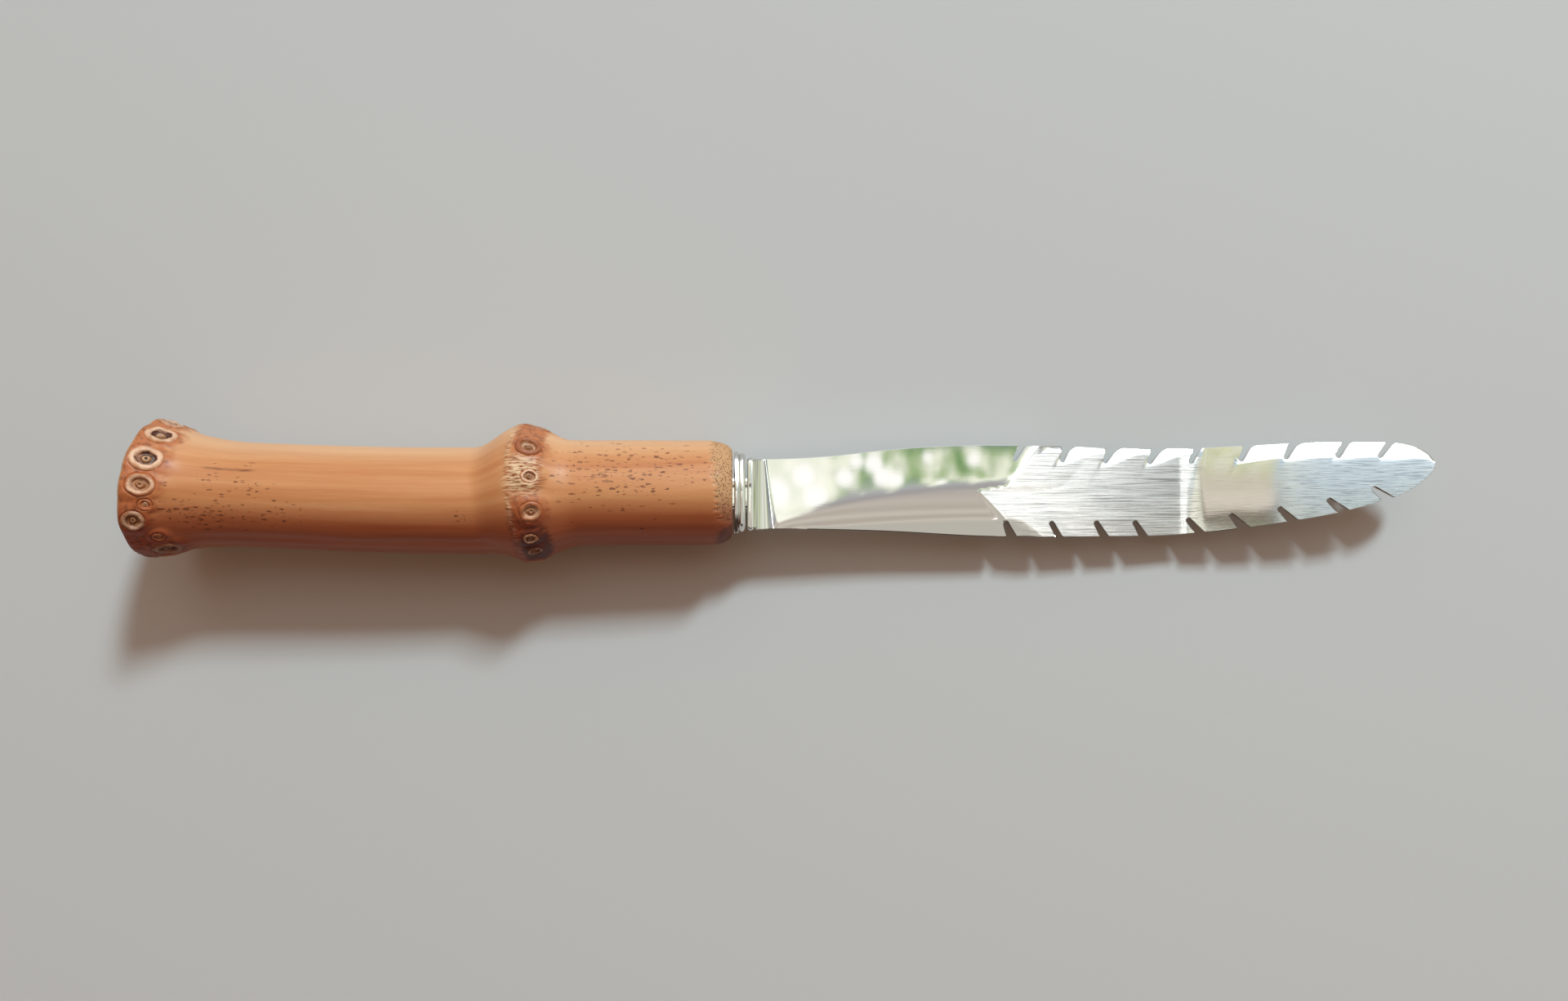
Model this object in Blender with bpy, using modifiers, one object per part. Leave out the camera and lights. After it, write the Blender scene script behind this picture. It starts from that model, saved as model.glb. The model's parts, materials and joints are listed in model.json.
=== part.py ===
"""Grapefruit knife: a notched, turned-up steel blade cemented into a root-bamboo handle.

Metres, +Z up. The knife is modelled along X with the handle's front face at x = 0 and the blade's
tip at +X, then laid on the floor the way it comes to rest: on a root scar and its front shoulder.
"""

import math

import bmesh
import bpy
import numpy as np
from mathutils import Matrix, Vector

# Fits between pieces
FIT_GAP = 0.0003

# Bamboo handle
HANDLE_LENGTH = 0.0848
BUTT_DIAMETER = 0.0202
BUTT_FLARE_LENGTH = 0.015
BUTT_EDGE_RADIUS = 0.0010
BUTT_SLANT = math.radians(6)
WAIST_DIAMETER = 0.0151
REAR_DIAMETER = 0.0158
MID_NODE_DIAMETER = 0.0196
MID_NODE_SETBACK = 0.0308
MID_NODE_REAR = 0.0065
MID_NODE_FRONT = 0.0080
MID_NODE_SLANT = math.radians(5)
MID_NODE_UNDERSIDE = 0.5
FRONT_DIAMETER = 0.0156
FRONT_FACE_DIAMETER = 0.0124
FRONT_ROUNDING = 0.0034
BUTT_RISE = 0.0006
REAR_SAG = 0.0012

# Root scars: low craters round both nodes, with a profile of (share of radius, share of height)
SCAR_HEIGHT = 0.0004
SCAR_DEPTH = 0.0012
SCAR_STRETCH = 1.25
SCAR_PROFILE = ((0, 0.4), (0.22, 0.4), (0.42, -0.1), (0.76, 1.0), (1.0, 0.3))
BUTT_SCAR_COUNT = 16
BUTT_SCAR_DIAMETER = 0.0029
BUTT_SCAR_SETBACK = 0.0032
BUTT_SCAR_PHASE = math.radians(4)
MID_SCAR_COUNT = 13
MID_SCAR_DIAMETER = 0.0028
MID_SCAR_SETBACK = 0.0289
MID_SCAR_PHASE = math.radians(13)

# Collar: a narrow flange against the handle, then a barrel-shaped band
COLLAR_WIDTH = 0.0120
COLLAR_HEIGHT = 0.0088
COLLAR_CORNER_WIDTH = 0.0012
COLLAR_CORNER_HEIGHT = 0.0015
COLLAR_CORNER_CROWN = 0.3
FLANGE_LENGTH = 0.0006
BAND_LENGTH = 0.0010
BAND_INSET = 0.0004

# Bead and fillet where the blade leaves the collar
BEAD_LENGTH = 0.0010
BEAD_HEIGHT = 0.0056
BEAD_PROUD = 0.00025
BEAD_CORNER_WIDTH = 0.0007
BEAD_CORNER_HEIGHT = 0.0014
FILLET_LENGTH = 0.0028

# Tang and the cement round it
TANG_LENGTH = 0.060
TANG_ROOT_WIDTH = 0.0050
TANG_END_WIDTH = 0.0034
TANG_ROOT_THICKNESS = 0.0034
TANG_END_THICKNESS = 0.0022
TANG_END_ROOM = 0.0030
CEMENT_WALL = 0.0007
CEMENT_SETBACK = 0.0010

# Blade
BLADE_LENGTH = 0.1016
NECK_WIDTH = 0.0105
BLADE_WIDTH = 0.0139
NECK_TAPER_SHARE = 0.38
ROOT_THICKNESS = 0.0018
TIP_THICKNESS = 0.0009
EDGE_THICKNESS = 0.0003
NOSE_LENGTH = 0.0050
NOSE_CENTRE_SHARE = 0.315
BEND_FROM_TIP = 0.0363
BEND_RADIUS = 0.0020
BEND_ANGLE = math.radians(10)
UPPER_BEVEL = 0.0027
LOWER_BEVEL = 0.0021
BEVEL_WAVE = 0.0004

# Outlines of the two edges: (share of the blade's length, share of its width there)
UPPER_EDGE = ((0, 0.476), (0.10, 0.487), (0.20, 0.525), (0.38, 0.518), (0.65, 0.493),
              (0.85, 0.550), (0.946, 0.540), (1, 0.496))
LOWER_EDGE = ((0, 0.524), (0.10, 0.500), (0.20, 0.475), (0.38, 0.482), (0.50, 0.482), (0.655, 0.450),
              (0.72, 0.396), (0.79, 0.320), (0.86, 0.223), (0.93, 0.079), (1, -0.115))

# Notches, ground by hand along both edges: each drift is how far one lies from the even spacing
NOTCH_PITCH = 0.00685
NOTCH_WIDTH = 0.0008
NOTCH_DEPTH = 0.0024
NOTCH_SLANT = math.radians(32)
LAST_NOTCH_FROM_TIP = 0.0066
UPPER_CORNER_RADIUS = 0.0022
LOWER_CORNER_RADIUS = 0.0006
UPPER_NOTCH_DRIFT = (0, -0.0001, -0.0001, 0.0001, -0.0001, 0.0001, -0.0001, 0.0007, 0)
LOWER_NOTCH_DRIFT = (-0.0018, -0.0012, -0.0012, -0.0020, -0.0002, -0.0009, -0.0007, -0.0004, -0.0009)

# How finely the curved faces are cut
HANDLE_SIDES = 40
SCAR_SIDES = 12
CORNER_POINTS = 4
BUTT_EDGE_RINGS = 4
FLARE_RINGS = 8
INTERNODE_RINGS = 6
NODE_RINGS = 16
FRONT_RINGS = 4
ROUNDING_RINGS = 5
FILLET_RINGS = 6
PLAIN_BLADE_RINGS = 6
RINGS_PER_NOTCH = 6
NOSE_RINGS = 8
NOTCH_ROOT_STEPS = 6
NOTCH_CORNER_STEPS = 5
SMOOTH_ANGLE = math.radians(32)

# Places that follow from the sizes above
NODE_X = -MID_NODE_SETBACK
COLLAR_X = FIT_GAP
BEAD_X = COLLAR_X + FLANGE_LENGTH + BAND_LENGTH + FIT_GAP
BLADE_X = BEAD_X + BEAD_LENGTH
TIP_X = BLADE_X + BLADE_LENGTH
FLAT_X = BLADE_X + FILLET_LENGTH
BEND_X = TIP_X - BEND_FROM_TIP
NOTCH_COUNT = len(UPPER_NOTCH_DRIFT)
FIRST_NOTCH_X = TIP_X - LAST_NOTCH_FROM_TIP - NOTCH_PITCH * (NOTCH_COUNT - 1)
BORE_DIAMETER = math.hypot(TANG_ROOT_WIDTH, TANG_ROOT_THICKNESS) + 2 * (CEMENT_WALL + 2 * FIT_GAP)
BORE_DEPTH = TANG_LENGTH + TANG_END_ROOM


def clear_scene():
    for obj in list(bpy.data.objects):
        bpy.data.objects.remove(obj, do_unlink=True)


def new_collection(name):
    collection = bpy.data.collections.new(name)
    bpy.context.scene.collection.children.link(collection)
    return collection


def finish(name, red, green, blue, roughness, metallic):
    """A plain material in linear colour."""
    material = bpy.data.materials.new(name)
    material.use_nodes = True
    shader = material.node_tree.nodes["Principled BSDF"]
    shader.inputs["Base Color"].default_value = (red, green, blue, 1)
    shader.inputs["Roughness"].default_value = roughness
    shader.inputs["Metallic"].default_value = metallic
    return material


def add_object(name, mesh, collection, material=None):
    obj = bpy.data.objects.new(name, mesh)
    collection.objects.link(obj)
    if material:
        mesh.materials.append(material)
        mesh.shade_smooth()
        mesh.set_sharp_from_angle(angle=SMOOTH_ANGLE)
    else:
        obj.hide_render = True
        obj.display_type = "WIRE"
    return obj


def loft_mesh(name, rings):
    """A closed skin over rings that have the same number of points, capped at both ends."""
    shape = bmesh.new()
    rows = [[shape.verts.new(point) for point in ring] for ring in rings]
    count = len(rows[0])
    for row, after in zip(rows, rows[1:]):
        for i in range(count):
            j = (i + 1) % count
            shape.faces.new((row[i], row[j], after[j], after[i]))
    shape.faces.new(rows[0][::-1])
    shape.faces.new(rows[-1])
    bmesh.ops.recalc_face_normals(shape, faces=shape.faces)
    mesh = bpy.data.meshes.new(name)
    shape.to_mesh(mesh)
    shape.free()
    return mesh


def boolean(obj, other, operation):
    modifier = obj.modifiers.new(other.name, "BOOLEAN")
    modifier.operation = operation
    modifier.solver = "EXACT"
    modifier.object = other


def smoothstep(t):
    t = min(1.0, max(0.0, t))
    return t * t * (3 - 2 * t)


def through_points(points, s):
    """A smooth curve through a few points, read at s."""
    xs, ys = np.array(points, float).T
    slopes = np.gradient(ys, xs)
    i = int(np.clip(np.searchsorted(xs, s) - 1, 0, len(xs) - 2))
    step = xs[i + 1] - xs[i]
    t = (s - xs[i]) / step
    start = ys[i] * (1 + 2 * t) + slopes[i] * step * t
    end = ys[i + 1] * (3 - 2 * t) - slopes[i + 1] * step * (1 - t)
    return start * (1 - t) ** 2 + end * t ** 2


def round_steps(start, length, count):
    """Stations that crowd together at the start, as on a quarter round."""
    return [start + length * (1 - math.cos(math.pi / 2 * i / count)) for i in range(count)]


def even_steps(start, end, count):
    return [start + (end - start) * i / count for i in range(count)]


def quarter_round(distance, length):
    """How far a quarter round falls short of its full height, 1 at its start and 0 at its end."""
    t = max(0.0, 1 - distance / length)
    return 1 - math.sqrt(1 - t * t)


# Bamboo handle
def handle_radius(x, angle):
    """The culm's radius at x, angle measured from +Z towards +Y."""
    crest = NODE_X - math.tan(MID_NODE_SLANT) * math.sin(angle) * MID_NODE_DIAMETER / 2
    ends = (-HANDLE_LENGTH, NODE_X - MID_NODE_REAR, NODE_X + MID_NODE_FRONT)
    culm = np.interp(x, ends, (WAIST_DIAMETER / 2, REAR_DIAMETER / 2, FRONT_DIAMETER / 2))
    reach = MID_NODE_FRONT if x > crest else MID_NODE_REAR
    ridge = 1 - (1 - MID_NODE_UNDERSIDE) * min(0.0, math.cos(angle)) ** 2
    node = ridge * max(0.0, 1 - ((x - crest) / reach) ** 2) ** 2
    flare = max(0.0, 1 - (x + HANDLE_LENGTH) / BUTT_FLARE_LENGTH) ** 2
    radius = culm + (MID_NODE_DIAMETER / 2 - culm) * node + (BUTT_DIAMETER / 2 - culm) * flare
    radius -= BUTT_EDGE_RADIUS * quarter_round(x + HANDLE_LENGTH, BUTT_EDGE_RADIUS)
    return radius - (FRONT_DIAMETER - FRONT_FACE_DIAMETER) / 2 * quarter_round(-x, FRONT_ROUNDING)


def handle_bow(x):
    """How far the culm's axis strays to the side: each internode leans a little."""
    foot = NODE_X - MID_NODE_REAR
    if x < foot:
        return (BUTT_RISE + REAR_SAG) * ((foot - x) / (foot + HANDLE_LENGTH)) ** 2 - REAR_SAG
    return -REAR_SAG * (1 - smoothstep((x - foot) / MID_NODE_REAR))


def handle_point(x, angle):
    """A point on the culm. The saw cut across the butt is slanted, and the flare leans with it."""
    radius = handle_radius(x, angle)
    y = handle_bow(x) + radius * math.sin(angle)
    lean = max(0.0, 1 - (x + HANDLE_LENGTH) / BUTT_FLARE_LENGTH)
    return Vector((x + lean * math.tan(BUTT_SLANT) * y, y, radius * math.cos(angle)))


def handle_mesh():
    flare_end = -HANDLE_LENGTH + BUTT_FLARE_LENGTH
    node_start, node_end = NODE_X - MID_NODE_REAR, NODE_X + MID_NODE_FRONT
    stations = round_steps(-HANDLE_LENGTH, BUTT_EDGE_RADIUS, BUTT_EDGE_RINGS)
    stations += even_steps(-HANDLE_LENGTH + BUTT_EDGE_RADIUS, flare_end, FLARE_RINGS)
    stations += even_steps(flare_end, node_start, INTERNODE_RINGS)
    stations += even_steps(node_start, node_end, NODE_RINGS)
    stations += even_steps(node_end, -FRONT_ROUNDING, FRONT_RINGS)
    stations += [-x for x in reversed(round_steps(0, FRONT_ROUNDING, ROUNDING_RINGS))]
    half_step = math.pi / HANDLE_SIDES
    turns = [half_step * (2 * i + 1) for i in range(HANDLE_SIDES)]
    return loft_mesh("bamboo_handle", [[handle_point(x, turn) for turn in turns] for x in stations])


def scar_button(diameter, cutters):
    """One root scar: a low crater with a raised rim and a nub in the middle, turned about Z."""
    radius = diameter / 2
    outline = [(radius * across, 0, SCAR_HEIGHT * up) for across, up in SCAR_PROFILE]
    outline += [(radius, 0, -SCAR_DEPTH), (0, 0, -SCAR_DEPTH)]
    mesh = bpy.data.meshes.new("scar_profile")
    mesh.from_pydata(outline, [(i, i + 1) for i in range(len(outline) - 1)], [])
    turned = add_object("scar_profile", mesh, cutters)
    screw = turned.modifiers.new("turn", "SCREW")
    screw.steps = screw.render_steps = SCAR_SIDES
    screw.use_merge_vertices = True
    screw.merge_threshold = 0.00001
    graph = bpy.context.evaluated_depsgraph_get()
    button = bpy.data.meshes.new_from_object(turned.evaluated_get(graph))
    bpy.data.objects.remove(turned)
    return button


def scar_places(x, count, phase, slant):
    """Where each scar sits: on the surface, with its axis square to it."""
    for i in range(count):
        angle = phase + 2 * math.pi * i / count
        centre_x = x - math.tan(slant) * math.sin(angle) * handle_radius(x, angle)
        here = handle_point(centre_x, angle)
        step = SCAR_HEIGHT
        along = (handle_point(centre_x + step, angle) - handle_point(centre_x - step, angle)).normalized()
        around = Vector((0, math.cos(angle), -math.sin(angle)))
        outward = along.cross(around).normalized()
        turn = Matrix((along * SCAR_STRETCH, outward.cross(along), outward)).transposed()
        yield Matrix.Translation(here) @ turn.to_4x4()


def scars_object(cutters):
    butt_x = BUTT_SCAR_SETBACK - HANDLE_LENGTH
    rings = ((butt_x, BUTT_SCAR_COUNT, BUTT_SCAR_PHASE, 0, BUTT_SCAR_DIAMETER),
             (-MID_SCAR_SETBACK, MID_SCAR_COUNT, MID_SCAR_PHASE, MID_NODE_SLANT, MID_SCAR_DIAMETER))
    shape = bmesh.new()
    for x, count, phase, slant, diameter in rings:
        button = scar_button(diameter, cutters)
        for place in scar_places(x, count, phase, slant):
            button.transform(place)
            shape.from_mesh(button)
            button.transform(place.inverted())
    bmesh.ops.recalc_face_normals(shape, faces=shape.faces)
    mesh = bpy.data.meshes.new("root_scars")
    shape.to_mesh(mesh)
    shape.free()
    return add_object("root_scars", mesh, cutters)


def bore_object(name, diameter, start, end, collection, material=None):
    """A round plug along X from start to end."""
    shape = bmesh.new()
    bmesh.ops.create_cone(shape, cap_ends=True, segments=HANDLE_SIDES, radius1=diameter / 2,
                          radius2=diameter / 2, depth=end - start)
    shape.transform(Matrix.Translation(((start + end) / 2, 0, 0)) @ Matrix.Rotation(math.pi / 2, 4, "Y"))
    mesh = bpy.data.meshes.new(name)
    shape.to_mesh(mesh)
    shape.free()
    return add_object(name, mesh, collection, material)


def make_handle(parts, cutters, material):
    handle = add_object("bamboo_handle", handle_mesh(), parts, material)
    boolean(handle, scars_object(cutters), "UNION")
    overrun = FRONT_ROUNDING
    boolean(handle, bore_object("handle_bore", BORE_DIAMETER, -BORE_DEPTH, overrun, cutters), "DIFFERENCE")
    return handle


# Sections shared by the forged steel pieces
def section(x, upper, lower, half_height, upper_corner, lower_corner, edge_height, crown, lift=0.0):
    """A four-cornered section across X: crown 0 gives straight bevels, 1 gives round corners."""
    points = []
    for edge, corner, sign, order in ((upper, upper_corner, 1, 1), (lower, lower_corner, 1, -1),
                                      (lower, lower_corner, -1, 1), (upper, upper_corner, -1, -1)):
        for i in range(CORNER_POINTS)[::order]:
            t = i / (CORNER_POINTS - 1)
            turn = t * math.pi / 2
            inward = corner * ((1 - crown) * t + crown * (1 - math.cos(turn)))
            rise = (half_height - edge_height) * ((1 - crown) * t + crown * math.sin(turn))
            y = edge - inward if edge > lower else edge + inward
            points.append(Vector((x, y, sign * (edge_height + rise) + lift)))
    return points


def tang_section(x, grow=0.0):
    """The rat-tail tang at x, or the room for it where it is grown by a gap."""
    share = min(1.0, max(0.0, -x / TANG_LENGTH))
    half_width = (TANG_ROOT_WIDTH + (TANG_END_WIDTH - TANG_ROOT_WIDTH) * share) / 2 + grow
    half_height = (TANG_ROOT_THICKNESS + (TANG_END_THICKNESS - TANG_ROOT_THICKNESS) * share) / 2 + grow
    corner = half_height / 2
    return section(x, half_width, -half_width, half_height, corner, corner, half_height - corner, 1)


def tang_room(name, start, end, cutters):
    rings = [tang_section(x, FIT_GAP) for x in (start, 0, end)]
    return add_object(name, loft_mesh(name, rings), cutters)


def make_cement(parts, cutters, material):
    plug_end = -BORE_DEPTH + FIT_GAP
    diameter = BORE_DIAMETER - 2 * FIT_GAP
    cement = bore_object("tang_cement", diameter, plug_end, -CEMENT_SETBACK, parts, material)
    boolean(cement, tang_room("tang_socket", -TANG_LENGTH - FIT_GAP, BEAD_X, cutters), "DIFFERENCE")
    return cement


# Collar
def make_collar(parts, cutters, material):
    def ring(x, inset):
        half_width, half_height = COLLAR_WIDTH / 2 - inset, COLLAR_HEIGHT / 2 - inset
        return section(x, half_width, -half_width, half_height, COLLAR_CORNER_WIDTH, COLLAR_CORNER_WIDTH,
                       half_height - COLLAR_CORNER_HEIGHT, COLLAR_CORNER_CROWN)

    band_x = COLLAR_X + FLANGE_LENGTH
    rings = [ring(COLLAR_X, 0), ring(band_x, 0), ring(band_x, BAND_INSET)]
    for share in (0.25, 0.5, 0.75, 1):
        bulge = BAND_INSET * (1 - (2 * share - 1) ** 2) / 2
        rings.append(ring(band_x + BAND_LENGTH * share, BAND_INSET - bulge))
    collar = add_object("bolster_collar", loft_mesh("bolster_collar", rings), parts, material)
    hole = tang_room("collar_hole", -CEMENT_SETBACK, BEAD_X + BEAD_LENGTH, cutters)
    boolean(collar, hole, "DIFFERENCE")
    return collar


# Blade
def blade_width(x):
    share = (x - BLADE_X) / BLADE_LENGTH
    return NECK_WIDTH + (BLADE_WIDTH - NECK_WIDTH) * smoothstep(share / NECK_TAPER_SHARE)


def blade_edge(x, outline, sign):
    """The edge's distance from the axis, drawn in to the round nose at the tip."""
    share = min(1.0, max(0.0, (x - BLADE_X) / BLADE_LENGTH))
    edge = sign * through_points(outline, share) * blade_width(x)
    nose = NOSE_CENTRE_SHARE * blade_width(x)
    return nose + (edge - nose) * (1 - quarter_round(TIP_X - x, NOSE_LENGTH))


def upper_edge(x):
    return blade_edge(x, UPPER_EDGE, 1)


def lower_edge(x):
    return blade_edge(x, LOWER_EDGE, -1)


def tip_lift(x):
    """The turned-up tip: flat, then a short round bend, then a straight slope."""
    past = x - BEND_X
    if past < -BEND_RADIUS:
        return 0.0
    rise = past if past > BEND_RADIUS else (past + BEND_RADIUS) ** 2 / (4 * BEND_RADIUS)
    return math.tan(BEND_ANGLE) * rise


def blade_half_height(x):
    share = (x - BLADE_X) / BLADE_LENGTH
    plain = (ROOT_THICKNESS + (TIP_THICKNESS - ROOT_THICKNESS) * share) / 2
    sweep = min(1.0, max(0.0, (x - BLADE_X) / FILLET_LENGTH))
    return plain + (BEAD_HEIGHT / 2 - ROOT_THICKNESS / 2) * (1 - math.sqrt(1 - (1 - sweep) ** 2))


def blade_section(x):
    upper, lower = upper_edge(x), lower_edge(x)
    ground = smoothstep((x - FLAT_X) / (FIRST_NOTCH_X - FLAT_X))
    wave = BEVEL_WAVE * math.cos(2 * math.pi * (x - FIRST_NOTCH_X) / NOTCH_PITCH)
    room = (upper - lower) / (UPPER_BEVEL + LOWER_BEVEL + 4 * BEVEL_WAVE)
    fit = ground * min(1.0, room)
    corner = (1 - ground) * EDGE_THICKNESS
    half_height = blade_half_height(x)
    edge_height = half_height + (EDGE_THICKNESS / 2 - half_height) * ground
    edge_height = min(edge_height, half_height - EDGE_THICKNESS / 4)
    return section(x, upper, lower, half_height, corner + fit * (UPPER_BEVEL + wave),
                   corner + fit * (LOWER_BEVEL + wave), edge_height, 0, tip_lift(x))


def bead_section(share):
    """The bead's round flank, from the collar to the blade."""
    x = BEAD_X + BEAD_LENGTH * share
    proud = BEAD_PROUD * math.sqrt(1 - (2 * share - 1) ** 2)
    upper, lower = upper_edge(BLADE_X) + proud, lower_edge(BLADE_X) - proud
    half_height = BEAD_HEIGHT / 2 + proud
    return section(x, upper, lower, half_height, BEAD_CORNER_WIDTH, BEAD_CORNER_WIDTH,
                   half_height - BEAD_CORNER_HEIGHT, 1)


def blade_mesh():
    rings = [tang_section(x) for x in (-TANG_LENGTH, 0, BEAD_X)]
    rings += [bead_section(share) for share in (0, 0.15, 0.5, 0.85)]
    nose_x = TIP_X - NOSE_LENGTH
    notched_x = FIRST_NOTCH_X - NOTCH_PITCH
    stations = round_steps(BLADE_X, FILLET_LENGTH, FILLET_RINGS)
    stations += even_steps(FLAT_X, notched_x, PLAIN_BLADE_RINGS)
    stations += even_steps(notched_x, nose_x, RINGS_PER_NOTCH * (NOTCH_COUNT + 1))
    stations += [TIP_X - step for step in reversed(round_steps(0, NOSE_LENGTH, NOSE_RINGS)[1:])]
    rings += [blade_section(x) for x in stations]
    return loft_mesh("blade", rings)


def notch_outline(corner):
    """A slanted slot with a round root: a runs along the edge to the tip, b runs into the blade.

    The wall on the handle's side meets the edge in a sharp corner, the other in a round one.
    """
    lean = math.tan(NOTCH_SLANT)
    half = NOTCH_WIDTH / 2
    outside = NOTCH_WIDTH
    mouth = NOTCH_WIDTH / math.cos(NOTCH_SLANT)
    root_b = NOTCH_DEPTH - half
    root_a = mouth / 2 - root_b * lean
    points = [(outside * lean, -outside)]
    for i in range(NOTCH_ROOT_STEPS + 1):
        turn = math.pi * i / NOTCH_ROOT_STEPS - NOTCH_SLANT
        points.append((root_a - half * math.cos(turn), root_b + half * math.sin(turn)))
    centre_a = mouth + corner * math.tan(math.pi / 4 - NOTCH_SLANT / 2)
    for i in range(NOTCH_CORNER_STEPS + 1):
        turn = (math.pi / 2 - NOTCH_SLANT) * (1 - i / NOTCH_CORNER_STEPS)
        points.append((centre_a - corner * math.sin(turn), corner - corner * math.cos(turn)))
    points.append((centre_a, -outside))
    return points


def notches_object(cutters):
    shape = bmesh.new()
    tall = BLADE_WIDTH
    for edge, drifts, corner, sign in ((upper_edge, UPPER_NOTCH_DRIFT, UPPER_CORNER_RADIUS, 1),
                                       (lower_edge, LOWER_NOTCH_DRIFT, LOWER_CORNER_RADIUS, -1)):
        for i, drift in enumerate(drifts):
            x = FIRST_NOTCH_X + NOTCH_PITCH * i + drift
            run = Vector((2 * NOTCH_WIDTH, edge(x + NOTCH_WIDTH) - edge(x - NOTCH_WIDTH), 0)).normalized()
            inward = Vector((run.y, -run.x, 0)) * sign
            start = Vector((x, edge(x), -tall))
            outline = [start + run * a + inward * b for a, b in notch_outline(corner)]
            face = shape.faces.new([shape.verts.new(point) for point in outline])
            raised = bmesh.ops.extrude_face_region(shape, geom=[face])["geom"]
            lifted = [item for item in raised if isinstance(item, bmesh.types.BMVert)]
            bmesh.ops.translate(shape, verts=lifted, vec=(0, 0, 2 * tall))
    bmesh.ops.recalc_face_normals(shape, faces=shape.faces)
    mesh = bpy.data.meshes.new("notches")
    shape.to_mesh(mesh)
    shape.free()
    return add_object("notches", mesh, cutters)


def make_blade(parts, cutters, material):
    blade = add_object("blade", blade_mesh(), parts, material)
    boolean(blade, notches_object(cutters), "DIFFERENCE")
    return blade


def lay_down(pieces, parts, cutters):
    """Tips the knife on to its lowest root scar and front shoulder, and sets it on the floor's origin."""
    rest = bpy.data.objects.new("knife_rest", None)
    scar_drop = handle_radius(-MID_SCAR_SETBACK, math.pi) + SCAR_HEIGHT - FRONT_DIAMETER / 2
    rest.rotation_euler.y = math.asin(scar_drop / (MID_SCAR_SETBACK - FRONT_ROUNDING))
    for piece in (*parts.objects, *cutters.objects):
        piece.parent = rest
    parts.objects.link(rest)
    bpy.context.view_layer.update()
    graph = bpy.context.evaluated_depsgraph_get()
    corners = []
    for piece in pieces:
        mesh = piece.evaluated_get(graph).to_mesh()
        corners += [piece.matrix_world @ vertex.co for vertex in mesh.vertices]
        piece.evaluated_get(graph).to_mesh_clear()
    low, high = np.min(corners, axis=0), np.max(corners, axis=0)
    rest.location = (-(low[0] + high[0]) / 2, -(low[1] + high[1]) / 2, -low[2])


def main():
    clear_scene()
    parts = new_collection("grapefruit_knife")
    cutters = new_collection("cutters")
    bamboo = finish("lacquered_bamboo", 0.52, 0.25, 0.11, 0.35, 0)
    polished = finish("polished_stainless", 0.70, 0.69, 0.66, 0.15, 1)
    cement = finish("tang_cement", 0.20, 0.16, 0.13, 0.8, 0)
    pieces = [make_handle(parts, cutters, bamboo), make_cement(parts, cutters, cement),
              make_collar(parts, cutters, polished), make_blade(parts, cutters, polished)]
    lay_down(pieces, parts, cutters)


main()
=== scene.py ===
# %% [markdown]
# # A grapefruit knife with a root-bamboo handle
#
# The real knife is a notched steel blade whose tang is cemented into a piece of root bamboo, with a
# thin steel collar between the two. The imported CAD model says where each piece is and how big it is.
# This lesson builds a finer mesh over each solid, and then gives it the finish of the real material.
# Nothing that follows may outgrow it by more than a fraction of a millimetre.

# %% Load the imported knife
import json
import math

import bmesh
import bpy
import numpy as np
from mathutils import Matrix, Vector, geometry, kdtree, noise


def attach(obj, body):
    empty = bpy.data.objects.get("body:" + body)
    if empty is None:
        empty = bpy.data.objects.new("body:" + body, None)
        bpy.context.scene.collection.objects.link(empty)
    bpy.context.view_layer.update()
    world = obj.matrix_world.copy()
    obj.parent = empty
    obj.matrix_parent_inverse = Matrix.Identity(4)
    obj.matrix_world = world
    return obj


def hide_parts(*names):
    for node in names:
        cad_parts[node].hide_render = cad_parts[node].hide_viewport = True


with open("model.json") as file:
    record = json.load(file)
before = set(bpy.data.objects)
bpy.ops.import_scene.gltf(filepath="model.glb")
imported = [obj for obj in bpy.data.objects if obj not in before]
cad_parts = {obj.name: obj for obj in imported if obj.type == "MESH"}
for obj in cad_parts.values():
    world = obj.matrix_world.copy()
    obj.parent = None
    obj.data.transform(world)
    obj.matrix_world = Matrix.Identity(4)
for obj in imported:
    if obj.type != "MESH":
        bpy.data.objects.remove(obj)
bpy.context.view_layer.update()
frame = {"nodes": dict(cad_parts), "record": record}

MM = 0.001

# %% [markdown]
# ## The knife's own axes
#
# A knife that lies on a table is tipped a few degrees, which would make every formula clumsy. So each
# piece is modelled level, along X, with the handle's front face at x = 0 and the blade's face up. One
# matrix then lays it down. The CAD record has a mount on the sawn butt, and its axis and position give
# the tilt, the slant of the saw cut and the place, so that the meshes land on the solids.

# %% The matrix that lays the knife down
HANDLE_LENGTH = 84.8 * MM
BUTT_RISE = 0.6 * MM

butt_mount = {mount["name"]: mount for mount in frame["record"]["mounts"]}["butt_end"]
butt_axis = Vector(butt_mount["axis"])
NOSE_DOWN = math.atan2(butt_axis.z, -butt_axis.x)
BUTT_SLANT = math.asin(butt_axis.y)
TILT = Matrix.Rotation(NOSE_DOWN, 4, "Y")
butt_centre = Vector((math.tan(BUTT_SLANT) * BUTT_RISE - HANDLE_LENGTH, BUTT_RISE, 0))
LAY = Matrix.Translation(Vector(butt_mount["pos_m"]) - TILT @ butt_centre) @ TILT
print("nose down by", round(math.degrees(NOSE_DOWN), 2), "degrees, saw cut slanted by",
      round(math.degrees(BUTT_SLANT), 1))

# %% [markdown]
# ## The bamboo culm
#
# The handle is one piece of bamboo from just above the root, with two nodes: one at the butt and one
# in the middle. It flares at the butt, has a ridge at the middle node, and each internode leans a little.
# A lathe profile would miss the lean and the slanted ridge, and a sculpt can't be measured. So a formula
# gives the radius at each place along the culm and at each angle round it, with the CAD's own sizes.

# %% Steps and rounded ends
def smooth(t):
    """A soft step that is 0 up to t = 0, and 1 from t = 1 on."""
    t = np.clip(t, 0, 1)
    return t * t * (3 - 2 * t)


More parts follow.
